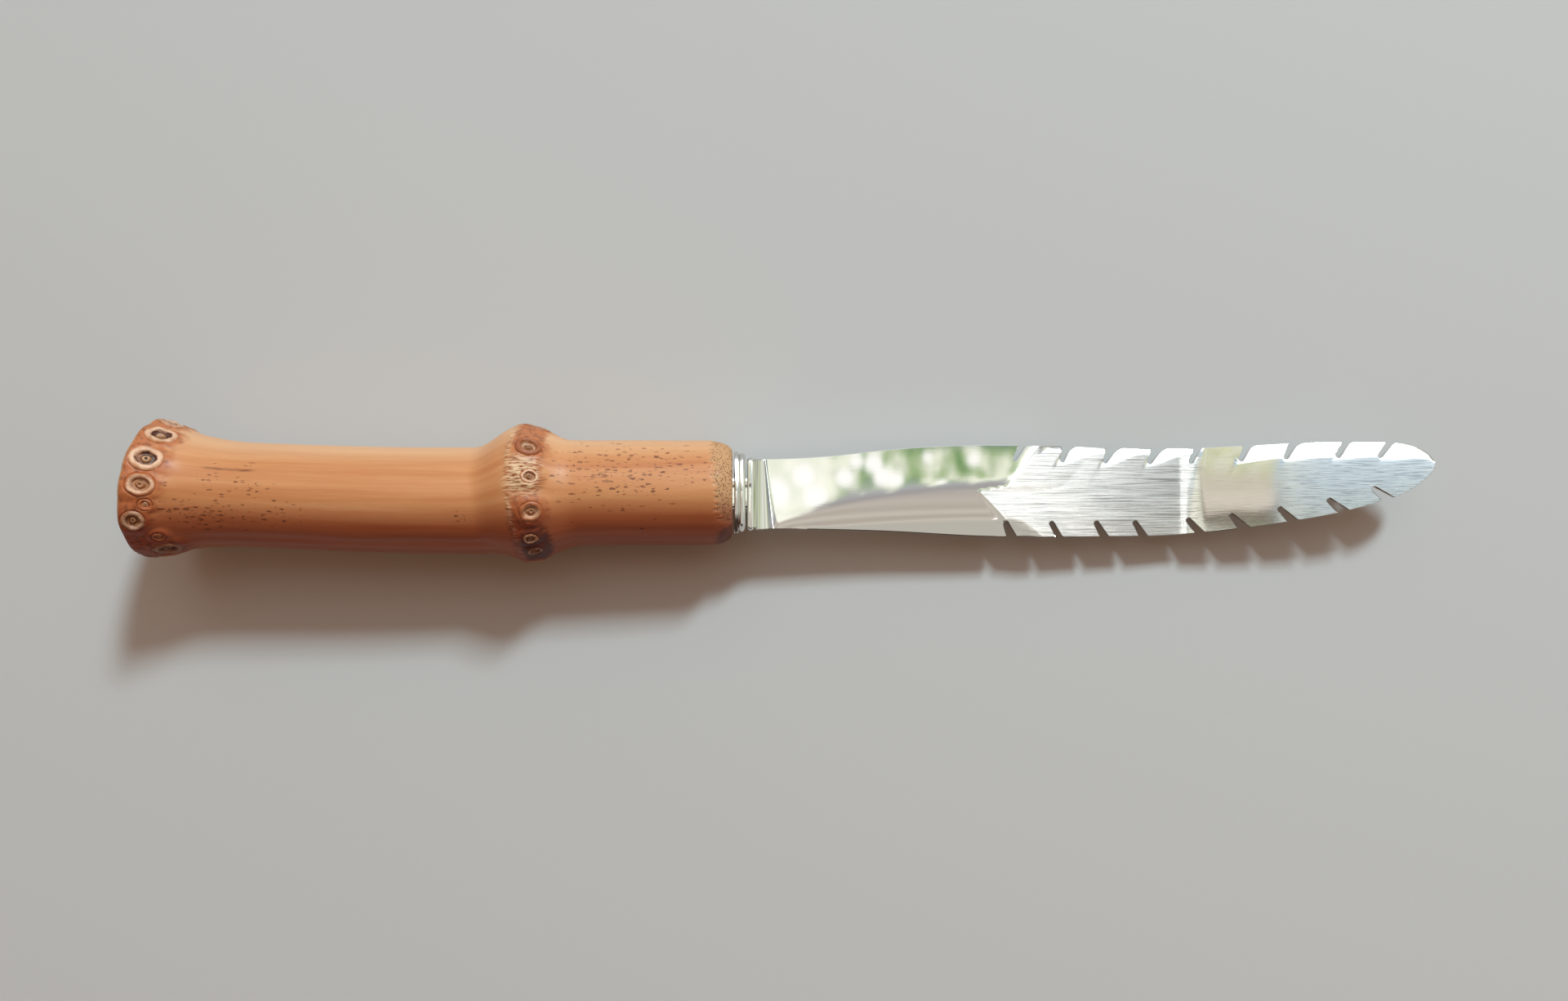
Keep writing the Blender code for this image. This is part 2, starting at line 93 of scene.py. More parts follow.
def quarter_round(distance, length):
    """How far a quarter round falls short of its full height: 1 at its start, 0 past its end."""
    t = np.clip(1 - distance / length, 0, 1)
    return 1 - np.sqrt(1 - t * t)


print("a soft step at a quarter of its way:", smooth(0.25))

# %% The culm's main form
BUTT_DIAMETER = 20.2 * MM
BUTT_FLARE_LENGTH = 15 * MM
BUTT_EDGE_RADIUS = 1.0 * MM
WAIST_DIAMETER = 15.1 * MM
REAR_DIAMETER = 15.8 * MM
NODE_DIAMETER = 19.6 * MM
NODE_X = -30.8 * MM
NODE_REAR = 6.5 * MM
NODE_FRONT = 8.0 * MM
NODE_SLANT = math.radians(5)
NODE_UNDERSIDE = 0.5
FRONT_DIAMETER = 15.6 * MM
FRONT_FACE_DIAMETER = 12.4 * MM
FRONT_ROUNDING = 3.4 * MM
REAR_SAG = 1.2 * MM


def culm_radius(x, angle):
    """The culm's radius at x, with the angle measured from the top towards +Y."""
    crest = NODE_X - math.tan(NODE_SLANT) * np.sin(angle) * NODE_DIAMETER / 2
    ends = (-HANDLE_LENGTH, NODE_X - NODE_REAR, NODE_X + NODE_FRONT)
    culm = np.interp(x, ends, (WAIST_DIAMETER / 2, REAR_DIAMETER / 2, FRONT_DIAMETER / 2))
    reach = np.where(x > crest, NODE_FRONT, NODE_REAR)
    ridge = 1 - (1 - NODE_UNDERSIDE) * np.minimum(0, np.cos(angle)) ** 2
    node = ridge * np.maximum(0, 1 - ((x - crest) / reach) ** 2) ** 2
    flare = np.maximum(0, 1 - (x + HANDLE_LENGTH) / BUTT_FLARE_LENGTH) ** 2
    radius = culm + (NODE_DIAMETER / 2 - culm) * node + (BUTT_DIAMETER / 2 - culm) * flare
    radius = radius - BUTT_EDGE_RADIUS * quarter_round(x + HANDLE_LENGTH, BUTT_EDGE_RADIUS)
    return radius - (FRONT_DIAMETER - FRONT_FACE_DIAMETER) / 2 * quarter_round(-x, FRONT_ROUNDING)


def culm_bow(x):
    """How far the culm's axis strays to the side at x."""
    foot = NODE_X - NODE_REAR
    rear = (BUTT_RISE + REAR_SAG) * ((foot - x) / (foot + HANDLE_LENGTH)) ** 2 - REAR_SAG
    return np.where(x < foot, rear, -REAR_SAG * (1 - smooth((x - foot) / NODE_REAR)))


def culm_point(x, angle, radius):
    """A point at a radius from the culm's axis. The saw cut is slanted, and the flare leans with it."""
    y = culm_bow(x) + radius * np.sin(angle)
    lean = np.maximum(0, 1 - (x + HANDLE_LENGTH) / BUTT_FLARE_LENGTH)
    return np.stack((x + lean * math.tan(BUTT_SLANT) * y, y, radius * np.cos(angle)), axis=-1)


print("culm diameter in mm at the butt, waist, node and front:",
      [round(2 * float(culm_radius(x * MM, 0)) / MM, 1) for x in (-83.5, -68, -30.8, -6)])

# %% [markdown]
# ## Where the roots grew
#
# Roots grew in a ring round each node and were cut off flush, which leaves the round scars that give
# root bamboo its look. Those that the photograph shows are placed one by one: setback along the handle,
# angle from the top, length, width, how dark the cut end is, whether it is a hollow bowl (0) or a flat
# disc (1), and how far its rings draw in towards the middle. The rest of each ring, on the side that
# faces the table, follows the same spacing with a little seeded scatter.

# %% The list of root scars
SHOWN_BUTT_SCARS = ((-82.3, 82, 4.0, 3.0, 0.35, 0, 1.0), (-81.6, 55, 4.7, 3.6, 0.10, 0, 0.95),
                    (-81.9, 27, 4.8, 3.9, 0.00, 0, 0.95), (-81.9, 4, 4.2, 3.5, 0.10, 1, 1.1),
                    (-81.2, -13, 2.2, 1.8, 0.20, 1, 2.2), (-82.8, -27, 3.3, 3.2, 0.55, 1, 1.0),
                    (-80.4, -47, 2.0, 1.7, 0.45, 1, 2.4), (-80.2, -66, 4.6, 3.2, 0.85, 0, 1.0))
SHOWN_NODE_SCARS = ((-28.9, 84, 4.2, 2.5, 0.50, 1, 1.0), (-29.1, 42, 4.0, 3.6, 0.45, 1, 1.6),
                    (-28.6, 13.5, 2.7, 2.3, 0.05, 1, 1.0), (-28.4, -16.5, 3.6, 3.1, 0.25, 1, 1.35),
                    (-28.8, -42, 2.3, 1.9, 0.75, 1, 1.0), (-28.5, -59, 2.3, 1.8, 0.80, 1, 1.0))
# The unseen part of each ring: setback in mm and spacing in degrees
BUTT_RING = (-81.7, 24)
NODE_RING = (-28.9, 27)
SCAR_SEED = 7
SETBACK_SCATTER = 0.4
TURN_SCATTER = 3
# Least and most of an unseen scar's length in mm, darkness and spread
UNSEEN_LENGTH = (2.6, 3.6)
UNSEEN_DARKNESS = (0.1, 0.7)
UNSEEN_SPREAD = (1.0, 1.4)
UNSEEN_ROUNDNESS = 0.85


def whole_ring(shown, ring, draw):
    """The shown scars, and then more at the ring's spacing until the ring is closed."""
    setback, spacing = ring
    scars = list(shown)
    first, last = scars[0][1], scars[-1][1]
    room = 360 - (first - last)
    count = round(room / spacing) - 1
    for i in range(count):
        angle = last - room * (i + 1) / (count + 1) + draw.uniform(-TURN_SCATTER, TURN_SCATTER)
        length = draw.uniform(*UNSEEN_LENGTH)
        place = setback + draw.uniform(-SETBACK_SCATTER, SETBACK_SCATTER)
        scars.append((place, angle, length, length * UNSEEN_ROUNDNESS, draw.uniform(*UNSEEN_DARKNESS),
                      draw.integers(2), draw.uniform(*UNSEEN_SPREAD)))
    return scars


draw = np.random.default_rng(SCAR_SEED)
scars = whole_ring(SHOWN_BUTT_SCARS, BUTT_RING, draw) + whole_ring(SHOWN_NODE_SCARS, NODE_RING, draw)
scars = np.array(scars, float) * (MM, math.pi / 180, MM, MM, 1, 1, 1)
print(len(scars), "root scars")

# %% [markdown]
# ## The handle's skin
#
# The skin is a grid of rings, close together at the nodes and the ends, where the detail is, and wide
# apart along the plain internodes. On top of the main form come the small ones: a swelling round each
# root scar with a pit for the scar itself, the frayed line where the leaf sheath was torn off behind
# the middle node, the end that was sanded round, and a faint waviness that keeps a highlight from
# looking machined. Each of these also leaves a mark on the points, and the finish is mixed by them. Two
# more marks are colour alone, and both are painted light: painted shade darkens the side away from the
# lamp, and the side towards it is painted paler.

# %% Rings along the handle
SIDES = 288
# Start and end of each zone in mm, and how many rings it has
ZONES = ((-84.8, -83.8, 8), (-83.8, -77.0, 38), (-77.0, -69.8, 14), (-69.8, -40.0, 40), (-40.0, -34.0, 20),
         (-34.0, -25.0, 62), (-25.0, -5.0, 34), (-5.0, -3.4, 10), (-3.4, 0.0, 26))

zones = [np.linspace(start, end, count, endpoint=False) for start, end, count in ZONES]
stations = np.append(np.concatenate(zones), 0) * MM
turns = np.linspace(0, 2 * math.pi, SIDES, endpoint=False) + math.pi
x, angle = np.meshgrid(stations, turns, indexing="ij")
radius = culm_radius(x, angle)
level = culm_point(x, angle, radius).reshape(-1, 3)
print(len(stations), "rings of", SIDES, "points")

# %% Noise and distances on the skin
# Size in mm along and across the grain: ragged edges, broad waves, fibres and the fingers of the sanded end
NOISE_CELLS = ((0.9, 0.5, 0.5), (9, 3, 3), (1.4, 0.2, 0.2), (3, 0.36, 0.36))


def per_metre(cell):
    """How many cells of a size in metres go in a metre, along each axis."""
    return [1 / side for side in cell]


def grain(points, cell):
    """Smooth noise from -1 to 1 at each point, with a size in metres along each axis."""
    stretch = Vector(per_metre(cell))
    return np.array([noise.noise(Vector(point) * stretch) for point in points])


def away_from(line):
    """Each point's angle in radians away from a line along the handle, which lies at an angle in radians."""
    return (angle - line + math.pi) % (2 * math.pi) - math.pi


def swing(degrees):
    """Each point's angle in radians away from a line that lies at an angle in degrees."""
    return away_from(math.radians(degrees))


def scar_distance(scar):
    """Each point's distance from a scar's middle, with 1 on its edge."""
    return np.hypot((x - scar[0]) / (scar[2] / 2), away_from(scar[1]) * radius / (scar[3] / 2))


closest = np.min([scar_distance(scar) for scar in scars], axis=0)
ragged, broad, fibres, fingers = (grain(level, [side * MM for side in cell]).reshape(x.shape)
                                  for cell in NOISE_CELLS)
print("closest point to a scar's middle, as a share of its radius:", round(float(closest.min()), 3))

# %% Root scars, root bands, dark patches and painted shade
# Shares of a scar's radius: how far the skin swells, where the pit and the red halo end and how softly
SWELL_REACH = 1.5
PIT_EDGE = (0.94, 0.2)
HALO_EDGE = (1.75, 0.8)
HALO_RAGGED = 0.4
BUTT_BAND_X = -81.2 * MM
BUTT_BAND_FADE = 1.6 * MM
BUTT_BAND_RAGGED = 0.3
NODE_BAND_X = -29.2 * MM
NODE_BAND_HALF = 2.6 * MM
NODE_BAND_FADE = 0.9 * MM
NODE_BAND_RAGGED = 0.4
# Dark spots: place along the handle and half length in mm, angle and half width in degrees, depth
# The first is a dark patch at the middle node; the second, at the front end's lower corner, is painted shade
DARK_PATCHES_AND_SHADE = ((-28.2, 2.2, -57, 26, 1.0), (-0.4, 2.0, -74, 32, 0.75))
PATCH_POWER = 3
PATCH_EDGE = (1.2, 0.45)
PATCH_RAGGED = 0.2


def from_spot(place, half_length, turned, half_width, power):
    """Each point's distance from a spot's middle, as a sum of powers that is 1 on the spot's edge."""
    along = np.abs((x - place * MM) / (half_length * MM))
    return along ** power + np.abs(swing(turned) / math.radians(half_width)) ** power


swelling = np.exp(-(closest / SWELL_REACH) ** 4)
pit = smooth((PIT_EDGE[0] - closest) / PIT_EDGE[1])
halo = smooth((HALO_EDGE[0] - closest + HALO_RAGGED * ragged) / HALO_EDGE[1])
butt_band = smooth((BUTT_BAND_X - x) / BUTT_BAND_FADE + 0.5 + BUTT_BAND_RAGGED * ragged)
node_band = smooth((NODE_BAND_HALF - np.abs(x - NODE_BAND_X)) / NODE_BAND_FADE + NODE_BAND_RAGGED * ragged)
rooty = np.maximum(halo, np.maximum(butt_band, node_band))
patch_and_shade = np.zeros(x.shape)
for *spot, depth in DARK_PATCHES_AND_SHADE:
    off = from_spot(*spot, PATCH_POWER) ** (1 / PATCH_POWER)
    patch_and_shade = np.maximum(patch_and_shade, depth * smooth((PATCH_EDGE[0] - off + PATCH_RAGGED * ragged) / PATCH_EDGE[1]))
print("share of the skin in the root bands:", round(float(rooty.mean()), 2))

# %% Torn sheath and sanded end
SHEATH_X = -30.6 * MM
SHEATH_SWING = 1.2 * MM
SHEATH_RAGGED = 0.22 * MM
SHEATH_TURN = 0.6
TEAR_WIDTH = 0.45 * MM
# A spot where the fray is thick, measured as the dark spots are
FRAY = (-29.6, 2.5, 15, 17)
FRAY_POWER = 4
# The tear's own strength, and what the fibres add to it or take from it
TEAR_FIBRES = (0.55, 0.5)
# The side that was sanded less, in degrees: its middle, half its width and how softly it ends
UNSANDED_TURN = (-85, 60, 25)
SANDED_END = -2.7 * MM
UNSANDED_STEP = 2.6 * MM
SANDED_SLANT = 0.75 * MM
FINGER_LENGTH = 1.1 * MM
SANDED_RAGGED = 0.25 * MM
SANDED_FADE = 0.3 * MM
SAWN_X = -84.2 * MM
SAWN_FADE = 0.25 * MM

sheath = SHEATH_X - SHEATH_SWING * np.maximum(0, np.cos(angle - SHEATH_TURN)) + SHEATH_RAGGED * ragged
tear = np.exp(-((x - sheath) / TEAR_WIDTH) ** 2)
tear = tear * (TEAR_FIBRES[0] + TEAR_FIBRES[1] * fibres)
fray = np.maximum(tear, np.exp(-from_spot(*FRAY, FRAY_POWER))) * (1 - pit)

middle, half_width, fade = UNSANDED_TURN
unsanded = smooth((math.radians(half_width) - np.abs(swing(middle))) / math.radians(fade))
edge_x = SANDED_END + UNSANDED_STEP * unsanded - SANDED_SLANT * np.sin(angle)
edge_x = edge_x + FINGER_LENGTH * fingers + SANDED_RAGGED * ragged
sanded = smooth((x - edge_x) / SANDED_FADE)
sawn = smooth((SAWN_X - x) / SAWN_FADE)
print("sanded end in mm:", round(float(edge_x.min()) / MM, 1), "to", round(float(edge_x.max()) / MM, 1))

# %% Crack, crease, and the sides with painted shade and painted light
# Lines along the handle, in mm and degrees: start and its fade, end and its fade, angle, width and wander
CRACK = (-74.9, 1.0, -67.1, 1.0, 27, 0.16, 0.12)
CREASE = (-78, 4, -33.5, 3, -52, 0.8, 0.3)
# The crack's own strength, and what the fibres add to it or take from it
CRACK_FIBRES = (0.7, 0.6)
# Sides of the handle, in radians from the top: where one starts and how soon it is full, and where it wanes,
# how soon and by how much
# Painted shade: the side away from the lamp is darkened
PAINTED_SHADE_SIDE = (math.radians(-3), math.radians(38), 2.1, 0.9, 0.7)
# Painted light: the side towards the lamp is made paler
PAINTED_LIGHT_SIDE = (math.radians(32), math.radians(36), 1.9, 0.6, 1.0)


def line_along(line, wavy):
    """A thin line along the handle, which wanders with a noise."""
    start, start_fade, end, end_fade, turned, width, wander = line
    run = smooth((x / MM - start) / start_fade) * smooth((end - x / MM) / end_fade)
    return run * np.exp(-((swing(turned) * radius / MM + wander * wavy) / width) ** 2)


def one_side(turn, side):
    """A broad mark down one side of the handle."""
    start, grow, wane, fade, loss = side
    return smooth((turn - start) / grow) * (1 - loss * smooth((turn - wane) / fade))


crack = line_along(CRACK, ragged) * (CRACK_FIBRES[0] + CRACK_FIBRES[1] * fibres)
crease = line_along(CREASE, broad)
painted_shade = one_side(-swing(0), PAINTED_SHADE_SIDE)
painted_light = one_side(swing(0), PAINTED_LIGHT_SIDE)
print("marked: scars, red root bands, sheath tear, dark patches, crack, crease, sanded end, two sides")

# %% Points and faces to a piece
def put(name, data):
    """A new object at the origin, linked to the scene."""
    thing = bpy.data.objects.new(name, data)
    bpy.context.scene.collection.objects.link(thing)
    return thing


def mark_points(mesh, marks):
    """Keeps one number or vector a point under each mark's name."""
    for name, values in marks.items():
        values = np.reshape(values, (len(mesh.vertices), -1)).astype(np.float32)
        kind, field = ("FLOAT", "value") if values.shape[1] == 1 else ("FLOAT_VECTOR", "vector")
        mesh.attributes.new(name, kind, "POINT").data.foreach_set(field, values.ravel())


def make_piece(name, points, faces, marks=None):
    """A smooth mesh object, laid down, with its marks."""
    mesh = bpy.data.meshes.new(name)
    mesh.from_pydata([tuple(point) for point in points], [], faces)
    mark_points(mesh, marks or {})
    shape = bmesh.new()
    shape.from_mesh(mesh)
    bmesh.ops.recalc_face_normals(shape, faces=shape.faces)
    shape.transform(LAY)
    shape.to_mesh(mesh)
    shape.free()
    mesh.shade_smooth()
    return put(name, mesh)


def ring_faces(rows, columns, tyre=False):
    """Quads of a skin over rings of points. A tyre's last ring meets its first, and others get two caps."""
    faces = []
    for i in range(rows if tyre else rows - 1):
        for j in range(columns):
            corners = ((i, j), (i, j + 1), (i + 1, j + 1), (i + 1, j))
            faces.append(tuple(row % rows * columns + column % columns for row, column in corners))
    if not tyre:
        faces.append(tuple(range(columns)))
        faces.append(tuple(range((rows - 1) * columns, rows * columns)))
    return faces


print("a closed skin over two rings of three points has", len(ring_faces(2, 3)), "faces")

# %% The handle's mesh
BORE_DIAMETER = 8.6 * MM
BORE_DEPTHS = (0.4 * MM, 10 * MM, 30 * MM, 63 * MM)
FACE_RINGS = 14
FRONT_RINGS = 6
BUTT_CENTRE_RADIUS = 0.1 * MM
BUTT_RIM_GAP = 0.3 * MM
FRONT_RIM_GAP = 0.2 * MM
SWELL_HEIGHT = 0.45 * MM
PIT_DEPTH = 0.8 * MM
FRAY_HEIGHT = 0.16 * MM
FRAY_LEVEL = 0.4
SANDED_STEP = 0.10 * MM
CREASE_DEPTH = 0.14 * MM
WAVINESS = 0.05 * MM
ROOT_ROUGHNESS = 0.07 * MM
SANDED_ROUGHNESS = 0.02 * MM


def disc_rings(x_place, outer, inner, count):
    """Flat rings from one radius to another, for the sawn butt and the sanded face."""
    rims = np.linspace(outer, inner, count)
    flat_x, flat_turn = np.meshgrid(np.full(count, x_place), turns, indexing="ij")
    return culm_point(flat_x, flat_turn, np.broadcast_to(rims[:, None], flat_x.shape))


relief = SWELL_HEIGHT * swelling * (1 - sanded) - PIT_DEPTH * pit
relief = relief + FRAY_HEIGHT * fray * (FRAY_LEVEL + fibres) - CREASE_DEPTH * crease
relief = relief + WAVINESS * broad * (1 - sanded) - SANDED_STEP * sanded
relief = relief + (ROOT_ROUGHNESS * rooty + SANDED_ROUGHNESS * sanded) * ragged
butt_rim = BUTT_DIAMETER / 2 - BUTT_EDGE_RADIUS - BUTT_RIM_GAP
butt_face = disc_rings(-HANDLE_LENGTH, BUTT_CENTRE_RADIUS, butt_rim, FACE_RINGS)
front_face = disc_rings(0, FRONT_FACE_DIAMETER / 2 - FRONT_RIM_GAP, BORE_DIAMETER / 2, FRONT_RINGS)
bore = np.concatenate([disc_rings(-depth, BORE_DIAMETER / 2, BORE_DIAMETER / 2, 1) for depth in BORE_DEPTHS])
skin = np.concatenate((butt_face, culm_point(x, angle, radius + relief), front_face, bore))
print("skin of", len(skin), "rings with the butt, the front face and the bore")

# %% Marks on the handle, and its piece
GRAIN_RADIUS = 8 * MM
ROOT_STRENGTH = 0.85
BUTT_REDNESS = 0.2
# How much of the painted shade falls on the butt face, the front face and the bore
END_PAINTED_SHADE = 0.5


def whole(mark, at_butt, at_front):
    """A mark on the skin, carried on to the butt's face, the front face and the bore."""
    before = np.full((len(butt_face), SIDES), at_butt)
    after = np.full((len(front_face) + len(bore), SIDES), at_front)
    return np.concatenate((before, mark, after)).astype(np.float32)


butt_rims = np.hypot(butt_face[..., 1] - BUTT_RISE, butt_face[..., 2])
front_rims = np.hypot(front_face[..., 1], front_face[..., 2])
bore_rims = np.full(bore.shape[:2], BORE_DIAMETER / 2)
rims = np.concatenate((butt_rims, np.full(x.shape, GRAIN_RADIUS), front_rims, bore_rims))
culm = np.stack((skin[..., 0], rims * np.sin(turns), rims * np.cos(turns)), axis=-1)
marks = {"rooty": whole(ROOT_STRENGTH * rooty, BUTT_REDNESS, 0), "patch_and_shade": whole(patch_and_shade, 0, 0),
         "fray": whole(fray, 0, 0), "sanded": whole(np.maximum(sanded, sawn), 1, 1),
         "crack": whole(crack, 0, 0), "culm": culm, "painted_shade": whole(painted_shade, END_PAINTED_SHADE, END_PAINTED_SHADE),
         "painted_light": whole(painted_light, 0, 0)}
handle = make_piece("bamboo_skin", skin.reshape(-1, 3), ring_faces(len(skin), SIDES), marks)
print("handle:", len(handle.data.polygons), "faces")

# %% [markdown]
# ## Freckles
#
# Small dark dashes lie along the grain, thick in some places and absent in others. They are far too
# many to place by hand, and a noise in the finish makes them well. What has to be right is where they
# lie, so each cluster is a soft spot on the skin, kept as one more mark on the points. The spots on the
# side that faces the table follow the same habit.

# %% Where the freckles are
# Spots that are measured as the dark ones are, with the strength last
FRECKLES = ((-73.8, 4.0, -22, 13, 1.3), (-73.6, 2.0, 12, 7, 0.8), (-67.6, 2.2, 9, 9, 0.6),
            (-63.7, 2.2, -18, 12, 0.65), (-67.5, 3.0, -25, 10, 0.5), (-70.5, 4.0, 31, 6, 0.4),
            (-80.0, 1.2, -8, 14, 0.45), (-16.5, 6.5, 20, 26, 0.9), (-23.0, 3.2, 32, 24, 0.6),
            (-9.5, 4.5, 30, 24, 0.6), (-22.0, 3.0, -2, 14, 0.45), (-38.4, 0.8, -19, 6, 0.7),
            (-70.0, 6.0, 150, 30, 0.7), (-18.0, 6.0, -140, 30, 0.7), (-50.0, 6.0, -150, 18, 0.4))
FRECKLE_POWER = 2

freckled = np.zeros(x.shape)
for *spot, strength in FRECKLES:
    freckled = np.maximum(freckled, strength * np.exp(-from_spot(*spot, FRECKLE_POWER)))
mark_points(handle.data, {"freckled": whole(freckled * (1 - sanded), 0, 0)})
print(len(FRECKLES), "clusters of freckles")

# %% [markdown]
# ## Finish: lacquered bamboo
#
# Bamboo's skin is smooth, hard and full of silica, with fine fibres along the culm that show as faint
# streaks. A thin lacquer over it gives a soft gloss. The red bands at the roots, the dark patches with
# the painted shade at the front end, the frayed sheath line with painted shade between its fibres, and
# the sanded end grain are mixed over the skin by the marks on the points, as are the painted shade on
# the side away from the lamp and the painted light on the side towards it. The end grain shows the
# culm's fibre bundles as dark dots about 0.3 mm apart.
#
# Four small functions serve every finish. `linear` turns a colour that was read off a screen into the
# light values that shaders add and multiply. `add` puts one node in a tree with its settings and its
# links, `feed` sets the inputs of one that is there, and `new_finish` starts a material.

# %% Colours and nodes
# A Mix node that mixes colours has its factor at input 0 and its two colours at inputs 6 and 7.
# In a Map Range node, inputs 1 and 2 are the range before, and 3 and 4 the range after.
COLOURS = {"out": 2, "data_type": "RGBA"}


def linear(hex_colour):
    """An sRGB hex colour as linear red, green, blue and alpha."""
    channels = [int(hex_colour[i:i + 2], 16) / 255 for i in (1, 3, 5)]
    return [c / 12.92 if c <= 0.04045 else ((c + 0.055) / 1.055) ** 2.4 for c in channels] + [1.0]


def feed(tree, node, inputs):
    """Sets a node's inputs by socket name or number. Each is a link, a value or a hex colour."""
    for socket, value in inputs.items():
        if isinstance(value, bpy.types.NodeSocket):
            tree.links.new(value, node.inputs[socket])
        else:
            node.inputs[socket].default_value = linear(value) if str(value).startswith("#") else value


def add(tree, kind, inputs=None, out=0, stops=(), **settings):
    """Adds a node and gives back one of its outputs, or the node where out is None. Stops fill a ramp."""
    node = tree.nodes.new(kind)
    for name, value in settings.items():
        setattr(node, name, value)
    feed(tree, node, inputs or {})
    for i, (position, colour) in enumerate(stops):
        ramp = node.color_ramp.elements
        stop = ramp[i] if i < 2 else ramp.new(position)
        stop.position = position
        stop.color = linear(colour)
    return node if out is None else node.outputs[out]


def new_finish(name):
    """A new material, with its node tree and its shader."""
    finish = bpy.data.materials.new(name)
    finish.use_nodes = True
    return finish, finish.node_tree, finish.node_tree.nodes["Principled BSDF"]


print("a screen's middle grey is", round(linear("#808080")[0], 3), "of white in linear light")

# %% Lacquered bamboo
SKIN_TAN = "#C58655"
SKIN_PALE = "#CD9464"
SKIN_RUST = "#B87445"
# The pale straw of the painted light on the side towards the lamp
PAINTED_LIGHT_STRAW = "#DDB38C"
STREAK = (30 * MM, 1.4 * MM, 1.4 * MM)
FIBRE = (2.6 * MM, 0.16 * MM, 0.16 * MM)
THREAD = (1.2 * MM, 0.2 * MM, 0.2 * MM)

# Bamboo under thin lacquer: a warm satin gloss over fine streaks and dashes that run along the grain
bamboo, tree, shader = new_finish("lacquered_bamboo")
place = add(tree, "ShaderNodeAttribute", out="Vector", attribute_name="culm")
drawn_out = []
for cell, detail in ((STREAK, 3.0), (FIBRE, 3.0), (THREAD, 2.0)):
    stretched = add(tree, "ShaderNodeVectorMath", {0: place, 1: per_metre(cell)}, operation="MULTIPLY")
    drawn_out.append(add(tree, "ShaderNodeTexNoise", {"Vector": stretched, "Scale": 1.0, "Detail": detail}))
streaks, fine, threads = drawn_out
tone = add(tree, "ShaderNodeValToRGB", {0: streaks},
           stops=((0.28, SKIN_RUST), (0.50, SKIN_TAN), (0.74, SKIN_PALE)))
line = add(tree, "ShaderNodeMapRange", {"Value": fine, 1: 0.40, 2: 0.72, 3: 0.0, 4: 0.30})
colour = add(tree, "ShaderNodeMix", {0: line, 6: tone, 7: SKIN_RUST}, **COLOURS)
# Painted light: the side towards the lamp is mixed towards a pale straw
painted_light_share = add(tree, "ShaderNodeAttribute", out="Fac", attribute_name="painted_light")
painted_light_share = add(tree, "ShaderNodeMath", {0: painted_light_share, 1: 0.6}, operation="MULTIPLY")
colour = add(tree, "ShaderNodeMix", {0: painted_light_share, 6: colour, 7: PAINTED_LIGHT_STRAW}, **COLOURS)
print("bamboo skin: streaks of", STREAK[1] / MM, "mm, fibres of", FIBRE[1] / MM, "mm")

# %% Freckles on the bamboo
FRECKLE = (0.9 * MM, 0.36 * MM, 0.36 * MM)
FRECKLE_BROWN = "#5E2A12"

freckle_place = add(tree, "ShaderNodeVectorMath", {0: place, 1: per_metre(FRECKLE)}, operation="MULTIPLY")
ripple = add(tree, "ShaderNodeTexNoise", {"Vector": freckle_place, "Scale": 1.6, "Detail": 2.0}, out="Color")
drifted = add(tree, "ShaderNodeVectorMath", {0: ripple, 1: freckle_place}, operation="ADD")
spots = add(tree, "ShaderNodeTexVoronoi", {"Vector": drifted, "Scale": 1.0, "Randomness": 1.0}, out=None)
odds = add(tree, "ShaderNodeSeparateColor", {0: spots.outputs["Color"]}, out=None)
density = add(tree, "ShaderNodeAttribute", out="Fac", attribute_name="freckled")
here = add(tree, "ShaderNodeMath", {0: odds.outputs[0], 1: density}, operation="LESS_THAN")
reach = add(tree, "ShaderNodeMapRange", {"Value": odds.outputs[1], 3: 0.26, 4: 0.60})
within = add(tree, "ShaderNodeMath", {0: reach, 1: spots.outputs["Distance"]}, operation="SUBTRACT")
dash = add(tree, "ShaderNodeMapRange", {"Value": within, 1: 0.0, 2: 0.14, 3: 0.0, 4: 0.85})
faint = add(tree, "ShaderNodeMapRange", {"Value": odds.outputs[2], 3: 0.35, 4: 1.1})
for share in (here, faint):
    dash = add(tree, "ShaderNodeMath", {0: dash, 1: share}, operation="MULTIPLY")
colour = add(tree, "ShaderNodeMix", {0: dash, 6: colour, 7: FRECKLE_BROWN}, **COLOURS)
print("freckles of about", FRECKLE[0] / MM, "by", FRECKLE[1] / MM, "mm")

# %% Roots, frayed sheath, end grain and gloss on the bamboo
ROOT_RED = "#AE6034"
ROOT_DARK = "#6E3419"
# Brown of the dark patch at the node and of the painted shade at the front end
PATCH_AND_SHADE_BROWN = "#683418"
FRAY_STRAW = "#DDBC94"
# Painted shade between the frayed fibres
FRAY_PAINTED_SHADE = "#8A4A28"
SANDED_STRAW = "#C0946A"
BUNDLE_BROWN = "#74492A"
# The tint of the painted shade, which multiplies the skin's colour
PAINTED_SHADE_TINT = "#D0A69E"
MOTTLE = 0.7 * MM
BUNDLE = 0.32 * MM
GRAIN_DEPTH = 0.1 * MM

mottle = add(tree, "ShaderNodeTexNoise", {"Vector": place, "Scale": 1 / MOTTLE, "Detail": 4.0})
bundles = add(tree, "ShaderNodeTexVoronoi", {"Vector": place, "Scale": 1 / BUNDLE, "Randomness": 1.0})
root_tone = add(tree, "ShaderNodeValToRGB", {0: mottle}, stops=((0.30, ROOT_DARK), (0.52, ROOT_RED)))
# The frayed fibres: straw, with painted shade between them
thread_tone = add(tree, "ShaderNodeValToRGB", {0: threads}, stops=((0.40, FRAY_PAINTED_SHADE), (0.56, FRAY_STRAW)))
bundle_tone = add(tree, "ShaderNodeValToRGB", {0: bundles},
                  stops=((0.20, BUNDLE_BROWN), (0.46, SANDED_STRAW)))
